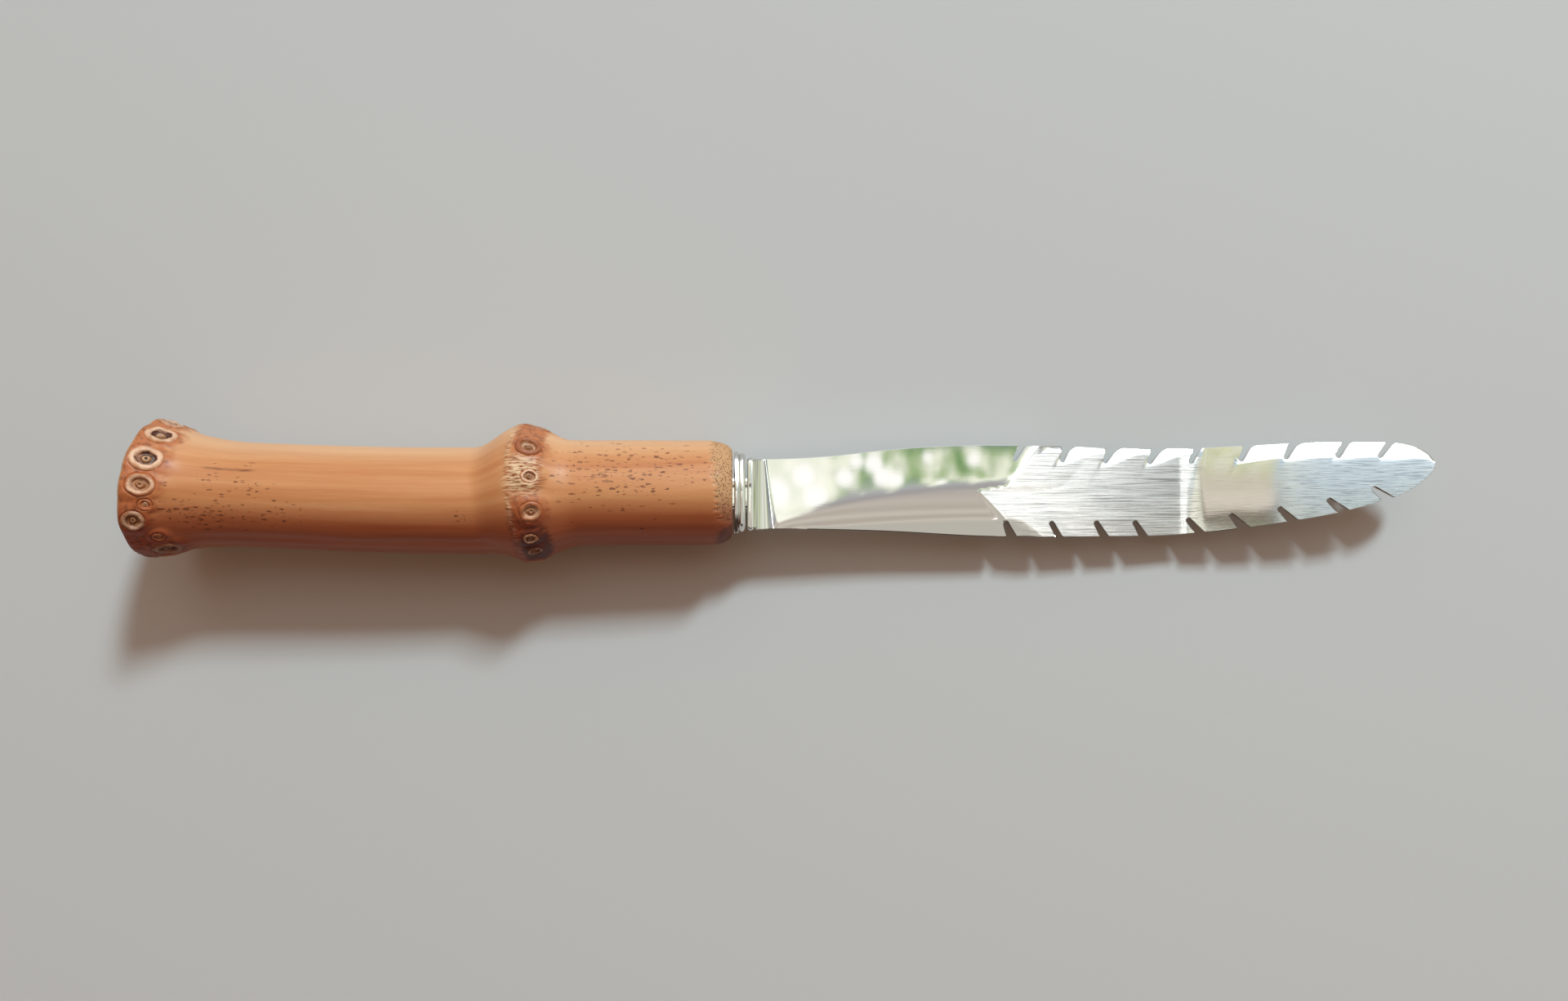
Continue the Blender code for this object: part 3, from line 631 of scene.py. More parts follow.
# The patch mark holds a dark patch at the node and painted shade at the front end's lower corner
for mark, over in (("crack", FRECKLE_BROWN), ("rooty", root_tone), ("patch_and_shade", PATCH_AND_SHADE_BROWN),
                   ("fray", thread_tone), ("sanded", bundle_tone)):
    amount = add(tree, "ShaderNodeAttribute", out="Fac", attribute_name=mark)
    colour = add(tree, "ShaderNodeMix", {0: amount, 6: colour, 7: over}, **COLOURS)
# The last amount is the sanded end's, which is dull and shows its bundles in the relief
gloss = add(tree, "ShaderNodeMapRange", {"Value": amount, 3: 0.50, 4: 0.78})
relief_height = add(tree, "ShaderNodeMix", {0: amount, 2: fine, 3: bundles})
# Painted shade: a tint darkens the side away from the lamp, and the ends at half its full strength
painted_shade_share = add(tree, "ShaderNodeAttribute", out="Fac", attribute_name="painted_shade")
colour = add(tree, "ShaderNodeMix", {0: painted_shade_share, 6: colour, 7: PAINTED_SHADE_TINT}, blend_type="MULTIPLY",
             **COLOURS)
bump = add(tree, "ShaderNodeBump", {"Height": relief_height, "Strength": 0.12, "Distance": GRAIN_DEPTH})
feed(tree, shader, {"Base Color": colour, "Roughness": gloss, "IOR": 1.5, "Specular IOR Level": 0.35,
                    "Coat Weight": 0.06, "Coat Roughness": 0.3, "Normal": bump})
handle.data.materials.append(bamboo)
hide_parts("bamboo_handle")
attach(handle, "root")
print("bamboo finish: freckles, red root bands, frayed sheath and end grain")

# %% [markdown]
# ## The root scars
#
# Each scar is the cut end of a root: a broad pale rim, a dark hollow, and a pale core with a dark dot.
# The same small shape repeats some thirty times at other sizes and angles, which is what instancing is
# for. A Geometry Nodes tree turns a flat grid into one closed button, puts it on every scar point with
# that point's own axes and size, and then roughens the copies with noise so that no two are alike.

# %% One point for each scar
AXIS_STEP = 0.5 * MM
SCAR_LIFT = 0.4 * SWELL_HEIGHT
BUTTON_THICKNESS = 0.26


def scar_axes(scar):
    """A scar's middle on the skin, its outward axis and its axis along the handle."""
    place, turn = scar[:2]
    places = (place - AXIS_STEP, place, place + AXIS_STEP)
    before, here, after = (culm_point(along, turn, culm_radius(along, turn)) for along in places)
    along = Vector(after - before).normalized()
    around = Vector((0, math.cos(turn), -math.sin(turn)))
    return Vector(here), along.cross(around).normalized(), along


middles, outwards, alongs = zip(*[scar_axes(scar) for scar in scars])
scar_points = bpy.data.meshes.new("scar_points")
scar_points.from_pydata([LAY @ (middle + outward * SCAR_LIFT) for middle, outward in zip(middles, outwards)],
                        [], [])
spin = LAY.to_3x3()
half_sizes = np.stack((scars[:, 2] / 2, scars[:, 3] / 2, scars[:, 3] * BUTTON_THICKNESS), axis=-1)
mark_points(scar_points, {"outward": [spin @ axis for axis in outwards],
                          "along": [spin @ axis for axis in alongs], "half_size": half_sizes,
                          "age": scars[:, 4], "flat": scars[:, 5], "spread": scars[:, 6]})
root_scars = put("root_scars", scar_points)
print(len(middles), "scar points")

# %% [markdown]
# ## Finish: cut root ends
#
# A dry root that is cut across shows its build like a target: pale bark, a dark shrunken layer, a pale
# core and a dark pith. The tree below leaves each point's share of the radius in an attribute, so a
# colour ramp can paint the rings in the right place at any size. Older scars are darker all over.

# %% Cut root ends
ROOT_STAIN = "#A96A45"
CRUMB = 0.35 * MM
BEND = 1.1 * MM
CRUMB_DEPTH = 0.1 * MM
BOWL_RINGS = ((0.05, "#4A2412"), (0.12, "#C49C78"), (0.22, "#A87C54"), (0.30, "#3A1A0C"), (0.48, "#52281A"),
              (0.57, "#DDB394"), (0.78, "#D8AC8A"), (0.90, "#BE8459"), (1.0, ROOT_RED))
DISC_RINGS = ((0.08, "#6E4226"), (0.18, "#B98A62"), (0.34, "#8E5E3A"), (0.46, "#BC8C64"), (0.54, "#7E5030"),
              (0.61, "#DDB394"), (0.78, "#D4A784"), (0.90, "#B0704A"), (1.0, ROOT_RED))


def knife_space(tree):
    """Object coordinates turned back to the level knife, in metres."""
    place = add(tree, "ShaderNodeTexCoord", out="Object")
    return add(tree, "ShaderNodeMapping", {"Vector": place, "Location": LAY.to_translation(),
                                           "Rotation": LAY.to_euler()}, vector_type="TEXTURE")


# Dry root, cut across: dull pale rings round a dark hollow, without the skin's lacquer
root_end, tree, shader = new_finish("cut_root_end")
place = knife_space(tree)
crumbs = add(tree, "ShaderNodeTexNoise", {"Vector": place, "Scale": 1 / CRUMB, "Detail": 3.0})
bends = add(tree, "ShaderNodeTexNoise", {"Vector": place, "Scale": 1 / BEND, "Detail": 1.0})
wobble = add(tree, "ShaderNodeMix", {0: 0.6, 2: crumbs, 3: bends})
wobble = add(tree, "ShaderNodeMapRange", {"Value": wobble, 1: 0.25, 2: 0.75, 3: -0.10, 4: 0.10})
share, spread, flat, age = (add(tree, "ShaderNodeAttribute", out="Fac", attribute_name=name)
                            for name in ("share", "spread", "flat", "age"))
drawn = add(tree, "ShaderNodeMath", {0: share, 1: spread, 2: wobble}, operation="MULTIPLY_ADD")
bowl, disc = (add(tree, "ShaderNodeValToRGB", {0: drawn}, stops=stops) for stops in (BOWL_RINGS, DISC_RINGS))
colour = add(tree, "ShaderNodeMix", {0: flat, 6: bowl, 7: disc}, **COLOURS)
stain = add(tree, "ShaderNodeMapRange", {"Value": bends, 1: 0.46, 2: 0.66, 3: 0.0, 4: 0.45})
darkened = add(tree, "ShaderNodeMapRange", {"Value": age, 3: 0.0, 4: 0.85})
for amount, over in ((stain, ROOT_STAIN), (darkened, PATCH_AND_SHADE_BROWN)):
    colour = add(tree, "ShaderNodeMix", {0: amount, 6: colour, 7: over}, **COLOURS)
bump = add(tree, "ShaderNodeBump", {"Height": crumbs, "Strength": 0.3, "Distance": CRUMB_DEPTH})
feed(tree, shader, {"Base Color": colour, "Roughness": 0.5, "Normal": bump})
print("cut root ends: ringed by their share of the radius")

# %% The button's outline in Geometry Nodes
BUTTON_TOP = 0.84
# Share of the radius and height of the button, against the way from its middle over its rim to its underside
OUTWARD_CURVE = ((0, 0), (BUTTON_TOP, 1), (0.90, 0.98), (1, 0))
HEIGHT_CURVE = ((0, 0.46), (0.06, 0.50), (0.12, 0.66), (0.19, 0.60), (0.26, 0.30), (0.39, 0.26), (0.48, 0.78),
                (0.56, 0.90), (0.66, 0.89), (0.76, 0.74), (BUTTON_TOP, 0.42), (0.90, 0.0), (1, 0))

nodes = bpy.data.node_groups.new("root_scar_buttons", "GeometryNodeTree")
nodes.interface.new_socket("Geometry", in_out="INPUT", socket_type="NodeSocketGeometry")
height_socket = nodes.interface.new_socket("Roughness Height", in_out="INPUT", socket_type="NodeSocketFloat")
nodes.interface.new_socket("Geometry", in_out="OUTPUT", socket_type="NodeSocketGeometry")
given = add(nodes, "NodeGroupInput", out=None)
result = add(nodes, "NodeGroupOutput", out=None)
where = add(nodes, "ShaderNodeSeparateXYZ", {0: add(nodes, "GeometryNodeInputPosition")}, out=None)
run = add(nodes, "ShaderNodeMath", {0: where.outputs[0], 1: 0.5}, operation="ADD")
drawn_curves = []
for drawn_points, handle_kind in ((OUTWARD_CURVE, "VECTOR"), (HEIGHT_CURVE, "AUTO")):
    node = add(nodes, "ShaderNodeFloatCurve", {"Value": run}, out=None)
    curve = node.mapping.curves[0].points
    for i, location in enumerate(drawn_points):
        point = curve[i] if i < 2 else curve.new(*location)
        point.location = location
        point.handle_type = handle_kind
    node.mapping.update()
    drawn_curves.append(node.outputs[0])
reach, height = drawn_curves
print("button drawn by", len(OUTWARD_CURVE), "and", len(HEIGHT_CURVE), "curve points")

# %% One closed button
BUTTON_RINGS = 26
BUTTON_SIDES = 36
MERGE_DISTANCE = 0.001

turn = add(nodes, "ShaderNodeMath", {0: where.outputs[1], 1: 2 * math.pi}, operation="MULTIPLY")
waves = [add(nodes, "ShaderNodeMath", {0: turn}, operation=wave) for wave in ("COSINE", "SINE")]
across, up = (add(nodes, "ShaderNodeMath", {0: reach, 1: wave}, operation="MULTIPLY") for wave in waves)
level_height = add(nodes, "ShaderNodeMath", {0: height, 1: -0.5}, operation="ADD")
ring = add(nodes, "ShaderNodeCombineXYZ", {0: across, 1: up, 2: level_height})
grid = add(nodes, "GeometryNodeMeshGrid", {"Size X": 1.0, "Size Y": 1.0, "Vertices X": BUTTON_RINGS,
                                           "Vertices Y": BUTTON_SIDES + 1})
share = add(nodes, "ShaderNodeMath", {0: run, 1: BUTTON_TOP}, operation="DIVIDE")
marked = add(nodes, "GeometryNodeStoreNamedAttribute", {"Geometry": grid, "Name": "share", "Value": share},
             data_type="FLOAT", domain="POINT")
round_button = add(nodes, "GeometryNodeSetPosition", {"Geometry": marked, "Position": ring})
closed = add(nodes, "GeometryNodeMergeByDistance", {"Geometry": round_button, "Distance": MERGE_DISTANCE})
print("one button of", BUTTON_RINGS, "by", BUTTON_SIDES, "points")

# %% Scatter the buttons and make them a plain mesh
ROUGHNESS_CELL = 1.1 * MM
ROUGHNESS_HEIGHT = 0.5 * MM

outward, along, half_size = (add(nodes, "GeometryNodeInputNamedAttribute", {"Name": name}, out="Attribute",
                                 data_type="FLOAT_VECTOR") for name in ("outward", "along", "half_size"))
axes = add(nodes, "FunctionNodeAxesToRotation", {0: outward, 1: along}, primary_axis="Z", secondary_axis="X")
buttons = add(nodes, "GeometryNodeInstanceOnPoints", {"Points": given.outputs[0], "Instance": closed,
                                                      "Rotation": axes, "Scale": half_size})
solid = add(nodes, "GeometryNodeRealizeInstances", {"Geometry": buttons})
bumps = add(nodes, "ShaderNodeTexNoise", {"Scale": 1 / ROUGHNESS_CELL, "Detail": 2.0}, out="Color")
centred = add(nodes, "ShaderNodeVectorMath", {0: bumps, 1: (0.5, 0.5, 0.5)}, operation="SUBTRACT")
offset = add(nodes, "ShaderNodeVectorMath", {0: centred, "Scale": given.outputs["Roughness Height"]},
             operation="SCALE")
rough = add(nodes, "GeometryNodeSetPosition", {"Geometry": solid, "Offset": offset})
even = add(nodes, "GeometryNodeSetShadeSmooth", {"Geometry": rough})
dressed = add(nodes, "GeometryNodeSetMaterial", {"Geometry": even, "Material": root_end})
feed(nodes, result, {0: dressed})

modifier = root_scars.modifiers.new("buttons", "NODES")
modifier.node_group = nodes
modifier[height_socket.identifier] = ROUGHNESS_HEIGHT
graph = bpy.context.evaluated_depsgraph_get()
root_scars.data = bpy.data.meshes.new_from_object(root_scars.evaluated_get(graph))
root_scars.modifiers.clear()
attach(root_scars, "root")
print("root scars:", len(root_scars.data.polygons), "faces")

# %% [markdown]
# ## Sections of the steel
#
# The collar, the bead at the neck and the tang are forged and filed to a rectangle with eased corners.
# A bevelled cube would do for one of them, but the sizes change along the knife. So one function gives
# the outline of such a section, and the pieces are skins over a row of sections.

# %% A section with four eased corners
CORNER_POINTS = 10


def section(x, half_width, half_height, corner, crown=1.0, low_corner=None):
    """A section across X. A corner is its width and height. Crown 1 makes it round, and 0 makes it flat."""
    t = np.linspace(0, 1, CORNER_POINTS)
    inward = (1 - crown) * t + crown * (1 - np.cos(t * math.pi / 2))
    fall = (1 - crown) * (1 - t) + crown * (1 - np.sin(t * math.pi / 2))
    (y, z), (low_y, low_z) = ((half_width - width * inward, half_height - height * fall)
                              for width, height in (corner, low_corner or corner))
    outline_y = np.concatenate((y, -low_y[::-1], -low_y, y[::-1]))
    outline_z = np.concatenate((z, low_z[::-1], -low_z, -z[::-1]))
    return np.stack((np.full(len(outline_y), x), outline_y, outline_z), axis=-1)


print("sections of", 4 * CORNER_POINTS, "points")

# %% [markdown]
# ## The collar
#
# A narrow flange sits against the bamboo, and a barrel-shaped band follows it. The flange is filed away
# more at its lower corner, which turns that end of it dark. The tang runs through a hole in both. The
# skin goes along the outside and back through the hole, so that it closes like a tyre.

# %% Collar
FIT_GAP = 0.3 * MM
COLLAR_WIDTH = 12.0 * MM
COLLAR_HEIGHT = 8.8 * MM
COLLAR_CORNER = (1.2 * MM, 1.5 * MM)
COLLAR_CROWN = 0.3
COLLAR_SHARP = math.radians(40)
FLANGE_LOW_CORNER = (3.2 * MM, 2.0 * MM)
FLANGE_LENGTH = 0.6 * MM
BAND_LENGTH = 1.0 * MM
BAND_INSET = 0.4 * MM
BAND_RINGS = 14
BAND_START = 0.06
BAND_BULGE = 0.5
EASED = 0.07 * MM
EASED_STEP = 0.3 * EASED
HOLE_CORNER = (0.8 * MM, 0.8 * MM)
TANG_ROOT = (5.0 * MM, 3.4 * MM)
collar_x = FIT_GAP
band_x = collar_x + FLANGE_LENGTH


def collar_ring(x, inset, low_corner=COLLAR_CORNER):
    """A section of the collar at x, drawn in by an inset."""
    return section(x, COLLAR_WIDTH / 2 - inset, COLLAR_HEIGHT / 2 - inset, COLLAR_CORNER, COLLAR_CROWN,
                   low_corner)


flange = [(collar_x, EASED), (collar_x + EASED_STEP, EASED_STEP), (collar_x + EASED, 0)]
flange += [(collar_x + band_x - x, inset) for x, inset in flange[::-1]]
rings = [collar_ring(x, inset, FLANGE_LOW_CORNER) for x, inset in flange] + [collar_ring(band_x, BAND_INSET)]
for share in np.linspace(BAND_START, 1, BAND_RINGS):
    bulge = BAND_BULGE * BAND_INSET * (1 - (2 * share - 1) ** 2)
    rings.append(collar_ring(band_x + BAND_LENGTH * share, BAND_INSET - bulge))
for hole_x in (band_x + BAND_LENGTH, collar_x):
    rings.append(section(hole_x, TANG_ROOT[0] / 2 + FIT_GAP, TANG_ROOT[1] / 2 + FIT_GAP, HOLE_CORNER))
rings = np.array(rings)
collar = make_piece("collar", rings.reshape(-1, 3), ring_faces(*rings.shape[:2], tyre=True))
collar.data.set_sharp_from_angle(angle=COLLAR_SHARP)
print("collar:", len(collar.data.polygons), "faces")

# %% [markdown]
# ## The blade's outline
#
# The blade is a flat bar that widens from the neck, with one straighter edge and one that sweeps up to
# the tip. Slanted notches are ground into both edges, each a little different because the work was done
# by hand. A Boolean cut would leave long thin faces that spoil a mirror finish. So the outline is drawn
# once as a loop, notches and all, and the face inside it is filled with an even mesh.

# %% Edges of the blade
BEAD_LENGTH = 1.0 * MM
BLADE_LENGTH = 101.6 * MM
BLADE_X = band_x + BAND_LENGTH + FIT_GAP + BEAD_LENGTH
TIP_X = BLADE_X + BLADE_LENGTH
NECK_WIDTH = 10.5 * MM
BLADE_WIDTH = 13.9 * MM
NECK_TAPER_SHARE = 0.38
NOSE_LENGTH = 5.0 * MM
NOSE_CENTRE_SHARE = 0.315
# Share of the blade's length, and the edge's distance from the axis as a share of the width there
UPPER_EDGE = ((0, 0.476), (0.10, 0.487), (0.20, 0.525), (0.38, 0.518), (0.65, 0.493),
              (0.85, 0.550), (0.946, 0.540), (1, 0.496))
LOWER_EDGE = ((0, -0.524), (0.10, -0.500), (0.20, -0.475), (0.38, -0.482), (0.50, -0.482), (0.655, -0.450),
              (0.72, -0.396), (0.79, -0.320), (0.86, -0.223), (0.93, -0.079), (1, 0.115))


def through_points(points, s):
    """A smooth curve through a few points, read at each s."""
    xs, ys = np.array(points, float).T
    slopes = np.gradient(ys, xs)
    i = np.clip(np.searchsorted(xs, s) - 1, 0, len(xs) - 2)
    step = xs[i + 1] - xs[i]
    t = (s - xs[i]) / step
    start = ys[i] * (1 + 2 * t) + slopes[i] * step * t
    end = ys[i + 1] * (3 - 2 * t) - slopes[i + 1] * step * (1 - t)
    return start * (1 - t) ** 2 + end * t ** 2


def edge_y(x, outline):
    """The edge's distance from the axis, drawn in to the round nose at the tip."""
    share = np.clip((x - BLADE_X) / BLADE_LENGTH, 0, 1)
    width = NECK_WIDTH + (BLADE_WIDTH - NECK_WIDTH) * smooth(share / NECK_TAPER_SHARE)
    nose = NOSE_CENTRE_SHARE * width
    spread = through_points(outline, share) * width - nose
    return nose + spread * (1 - quarter_round(TIP_X - x, NOSE_LENGTH))


print("blade from", round(BLADE_X / MM, 1), "to", round(TIP_X / MM, 1), "mm")

# %% One notch
NOTCH_DEPTH = 2.4 * MM
NOTCH_ROOT = 0.36 * MM
ROOT_POINTS = 11
EASED_POINTS = 9


def notch_path(back, front, corner):
    """A notch from its sharp back corner round its root to its eased front corner: (along, inward)."""
    back, front = math.radians(back), math.radians(front)
    root_b = NOTCH_DEPTH - NOTCH_ROOT
    root_a = NOTCH_ROOT / math.cos(back) - root_b * math.tan(back)
    turn = np.linspace(-back, math.pi - front, ROOT_POINTS)
    root = np.stack((root_a - NOTCH_ROOT * np.cos(turn), root_b + NOTCH_ROOT * np.sin(turn)), axis=-1)
    mouth = root_a + NOTCH_ROOT / math.cos(front) + root_b * math.tan(front)
    centre = mouth + corner * math.tan(math.pi / 4 - front / 2)
    turn = np.linspace(math.pi / 2 - front, 0, EASED_POINTS)
    eased = np.stack((centre - corner * np.sin(turn), corner - corner * np.cos(turn)), axis=-1)
    return np.concatenate((np.zeros((1, 2)), root, eased))


print("a notch", round(notch_path(25, 32, 0.2 * MM)[:, 1].max() / MM, 2), "mm deep")

# %% Notches in the outline
NOTCH_PITCH = 6.85 * MM
LAST_NOTCH_FROM_TIP = 6.6 * MM
# Drift along the edge in mm, lean of the back wall and of the front wall in degrees, front corner in mm
UPPER_NOTCHES = ((0, 25, 32, 0.2), (-0.1, 9, 26, 1.8), (-0.1, 15, 38, 2.2), (0.1, 19, 40, 2.2),
                 (-0.1, 27, 32, 0.3), (0.1, 22, 34, 1.6), (-0.1, 26, 36, 2.2), (0.7, 30, 34, 1.0),
                 (0, 33, 36, 0.8))
LOWER_NOTCHES = ((-1.8, 15, 33, 0.4), (-1.2, 26, 31, 0.5), (-1.2, 24, 35, 0.3), (-2.0, 25, 36, 0.2),
                 (-0.2, 30, 38, 0.3), (-0.9, 28, 42, 0.3), (-0.7, 28, 40, 0.7), (-0.4, 28, 42, 0.3),
                 (-0.9, 24, 40, 0.3))
FIRST_NOTCH_X = TIP_X - LAST_NOTCH_FROM_TIP - (len(UPPER_NOTCHES) - 1) * NOTCH_PITCH
NECK_OVERLAP = 0.4 * MM
EDGE_STEP = 0.3 * MM
TANGENT_REACH = 0.8 * MM
CORNER_GAP = 0.2 * MM
NOSE_POINTS = 40
NECK_POINTS = 24


def spaced(path, gap):
    """The path with points added where two lie further apart than a gap."""
    points = [path[0]]
    for here in path[1:]:
        count = max(1, math.ceil(np.linalg.norm(here - points[-1]) / gap))
        points += [points[-1] + (here - points[-1]) * (i + 1) / count for i in range(count)]
    return np.array(points)


def notched_edge(outline, notches, sign):
    """One edge from the neck to the tip, with its notches."""
    path = []
    x = BLADE_X - NECK_OVERLAP
    for i, (drift, back, front, corner) in enumerate(notches):
        start_x = FIRST_NOTCH_X + NOTCH_PITCH * i + drift * MM
        run_x = np.arange(x, start_x, EDGE_STEP)
        path.append(np.stack((run_x, edge_y(run_x, outline)), axis=-1))
        ahead = edge_y(start_x + TANGENT_REACH, outline) - edge_y(start_x - TANGENT_REACH, outline)
        run = np.array((2 * TANGENT_REACH, float(ahead)))
        run /= np.linalg.norm(run)
        inward = np.array((run[1], -run[0])) * sign
        start = np.array((start_x, float(edge_y(start_x, outline))))
        steps = notch_path(back, front, corner * MM)
        path.append(start + steps[:, :1] * run + steps[:, 1:] * inward)
        x = path[-1][-1][0] + CORNER_GAP
    nose_x = TIP_X - NOSE_LENGTH * (1 - np.cos(np.linspace(math.pi / 2, 0, NOSE_POINTS)))
    nose_x = nose_x[nose_x > x]
    nose_x = np.concatenate((np.arange(x, nose_x[0], EDGE_STEP), nose_x))
    path.append(np.stack((nose_x, edge_y(nose_x, outline)), axis=-1))
    return spaced(np.concatenate(path), EDGE_STEP)


upper_path = notched_edge(UPPER_EDGE, UPPER_NOTCHES, 1)
lower_path = notched_edge(LOWER_EDGE, LOWER_NOTCHES, -1)
neck = np.linspace(lower_path[0], upper_path[0], NECK_POINTS)[1:-1]
outline = np.concatenate((neck, upper_path, lower_path[-2::-1]))
print("outline of", len(outline), "points with", len(UPPER_NOTCHES) + len(LOWER_NOTCHES), "notches")

# %% [markdown]
# ## The blade's faces
#
# The two faces are ground, not flat. They thicken into the bead at the neck, and the last third is bent
# up in two presses and leans a little to one side. The upper teeth are bevelled on both faces, each from
# its notch onwards, and the lower ones mostly from below. Near the handle a long grind falls away to the
# lower edge in a fan, and it stops at a chevron where the notched part was ground again. All of that is a
# height over the outline, so one function gives it at any point of either face.

# %% Chevron, bend and twist
CHEVRON_APEX = (36.8 * MM, 0.15 * MM)
# How far the chevron's lower and upper arm run on for each unit across. The upper arm starts a step later.
CHEVRON_RUN = (0.95, 0.85)
CHEVRON_STEP = 3.7 * MM
CHEVRON_STEP_WIDTH = 0.9 * MM
BEND_X = TIP_X - 34.3 * MM
# Slope of the turned-up tip in degrees against the distance past the bend in mm
BEND_SLOPES = ((-2.5, 0), (-1.9, 3.3), (-0.2, 4.0), (0.5, 10))
BEND_STEPS = 61
TIP_TWIST = -0.045
TWIST_LEAD = 1.2 * MM
TWIST_RUN = 3.0 * MM


def past_chevron(x, y):
    """Distance beyond the chevron, along the knife."""
    run = np.where(y < CHEVRON_APEX[1], CHEVRON_RUN[0], CHEVRON_RUN[1])
    step = CHEVRON_STEP * smooth((y - CHEVRON_APEX[1]) / CHEVRON_STEP_WIDTH)
    return x - CHEVRON_APEX[0] - step - run * np.abs(y - CHEVRON_APEX[1])


def tip_lift(x):
    """The turned-up tip: a gentle and a sharp bend, as two presses leave it, and then a straight slope."""
    run, angle = np.transpose(BEND_SLOPES)
    steps = np.linspace(run[0], run[-1], BEND_STEPS)
    slope = np.tan(np.radians(np.interp(steps, run, angle)))
    rise = np.append(0, np.cumsum((slope[1:] + slope[:-1]) / 2 * np.diff(steps)))
    past = (x - BEND_X) / MM
    return (np.interp(past, steps, rise) + slope[-1] * np.maximum(0, past - run[-1])) * MM


def tip_twist(x):
    """Slope across the turned-up tip, which leans a little to the upper edge."""
    return TIP_TWIST * smooth((x - BEND_X + TWIST_LEAD) / TWIST_RUN)


print("tip turned up by", round(float(tip_lift(TIP_X)) / MM, 1), "mm")

# %% Bevels of the teeth
FILLET_LENGTH = 2.8 * MM
UPPER_BEVEL = 2.6 * MM
LOWER_BEVEL = 2.4 * MM
NARROW_BEVEL = 0.25 * MM
LEAST_BEVEL = 0.05 * MM
FULL_BEVEL_WIDTH = 8 * MM
SCALLOP = 0.4 * MM
SCALLOP_LEAD = 1.8 * MM
NOTCH_LEAN = math.tan(math.radians(30))
TOOTH_LEAD = 0.4 * MM
# A tooth's number, and the share of its bevel that is lost along it
TOOTH_TAPER = ((0, 0.85), (1, 0.75), (4, 0.75), (5.5, 0.2))
# Share of the upper face's bevel that goes to the under face: on the lower teeth past the chevron, and on
# one upper tooth
LEVEL_TEETH = 0.96
LEVEL_TEETH_FADE = 4 * MM
LEVEL_TOOTH = 4
LEVEL_TOOTH_SHARE = 0.9
TAPER_PACE = 1.2
# Way along the first tooth, as a share of it, where the upper bevel starts and over which it deepens
FIRST_BEVEL = (0.45, 0.4)


def ground_share(x):
    """How far the bevels have come on: 0 at the fillet, 1 from the first notch on."""
    start = BLADE_X + FILLET_LENGTH
    return smooth((x - start) / (FIRST_NOTCH_X - start))


def tooth_number(x, y):
    """Which tooth of the upper edge a point belongs to, with the way along it as a fraction."""
    return (x + NOTCH_LEAN * (edge_y(x, UPPER_EDGE) - y) - FIRST_NOTCH_X - TOOTH_LEAD) / NOTCH_PITCH


def bevel_widths(x, y):
    """How far the lower and the upper bevel reach in from their edges, beside a point."""
    low, high = edge_y(x, LOWER_EDGE), edge_y(x, UPPER_EDGE)
    teeth = tooth_number(x, y)
    taper = np.interp(teeth, *np.transpose(TOOTH_TAPER))
    tooth_bevel = UPPER_BEVEL * (1 - taper * smooth(TAPER_PACE * (teeth - np.floor(teeth))))
    upper = np.where(teeth < 0, NARROW_BEVEL, tooth_bevel)
    wave = np.abs(np.cos(math.pi * (x - FIRST_NOTCH_X + SCALLOP_LEAD) / NOTCH_PITCH)) * 2 - 1
    lower = LOWER_BEVEL + SCALLOP * wave * smooth((x - FIRST_NOTCH_X + NOTCH_PITCH) / NOTCH_PITCH)
    room = np.minimum(1, (high - low) / FULL_BEVEL_WIDTH) * ground_share(x)
    return lower * room + LEAST_BEVEL, upper * room + LEAST_BEVEL


def bevel_depth(x, y, lower_side, side):
    """Share of a bevel on the upper (1) or the under face (-1): lower teeth are ground from below."""
    teeth = tooth_number(x, y)
    level = np.where(np.floor(teeth) == LEVEL_TOOTH, LEVEL_TOOTH_SHARE, 0)
    level = np.where(lower_side, LEVEL_TEETH * smooth(past_chevron(x, y) / LEVEL_TEETH_FADE), level)
    started = smooth((teeth - FIRST_BEVEL[0]) / FIRST_BEVEL[1])
    return (1 - side * level) * np.where(lower_side, 1, started)


print("bevels in mm beside the first notch:",
      [round(float(width) / MM, 2) for width in bevel_widths(FIRST_NOTCH_X + TOOTH_LEAD, 6 * MM)])

# %% Height of the two faces
BEAD_HEIGHT = 5.6 * MM
FILLET_SLANT = 0.16
ROOT_THICKNESS = 1.8 * MM
TIP_THICKNESS = 0.9 * MM
EDGE_THICKNESS = 0.26 * MM
LOWER_EDGE_THICKNESS = 0.44 * MM
# The fan's upper line, along and across the knife in mm
FAN_LINE = ((3.0, -4.6), (8.0, -4.0), (13.9, -2.4), (20.0, -0.9), (28.7, 0.6), (38.6, 1.6), (60.0, 2.0))
# Its creases: what the way from the lower edge to that line is divided by, and the slope below the crease
FAN_SLOPES = ((1.0, 0.016), (1.9, 0.008), (2.6, 0.008))
FAN_START = 6 * MM
FAN_END = 0.3 * MM
FAN_SOFTNESS = 0.4 * MM
REGRIND_SLOPE = 0.010
REGRIND_RUN = 9 * MM
SOFT_CREASE = 0.12


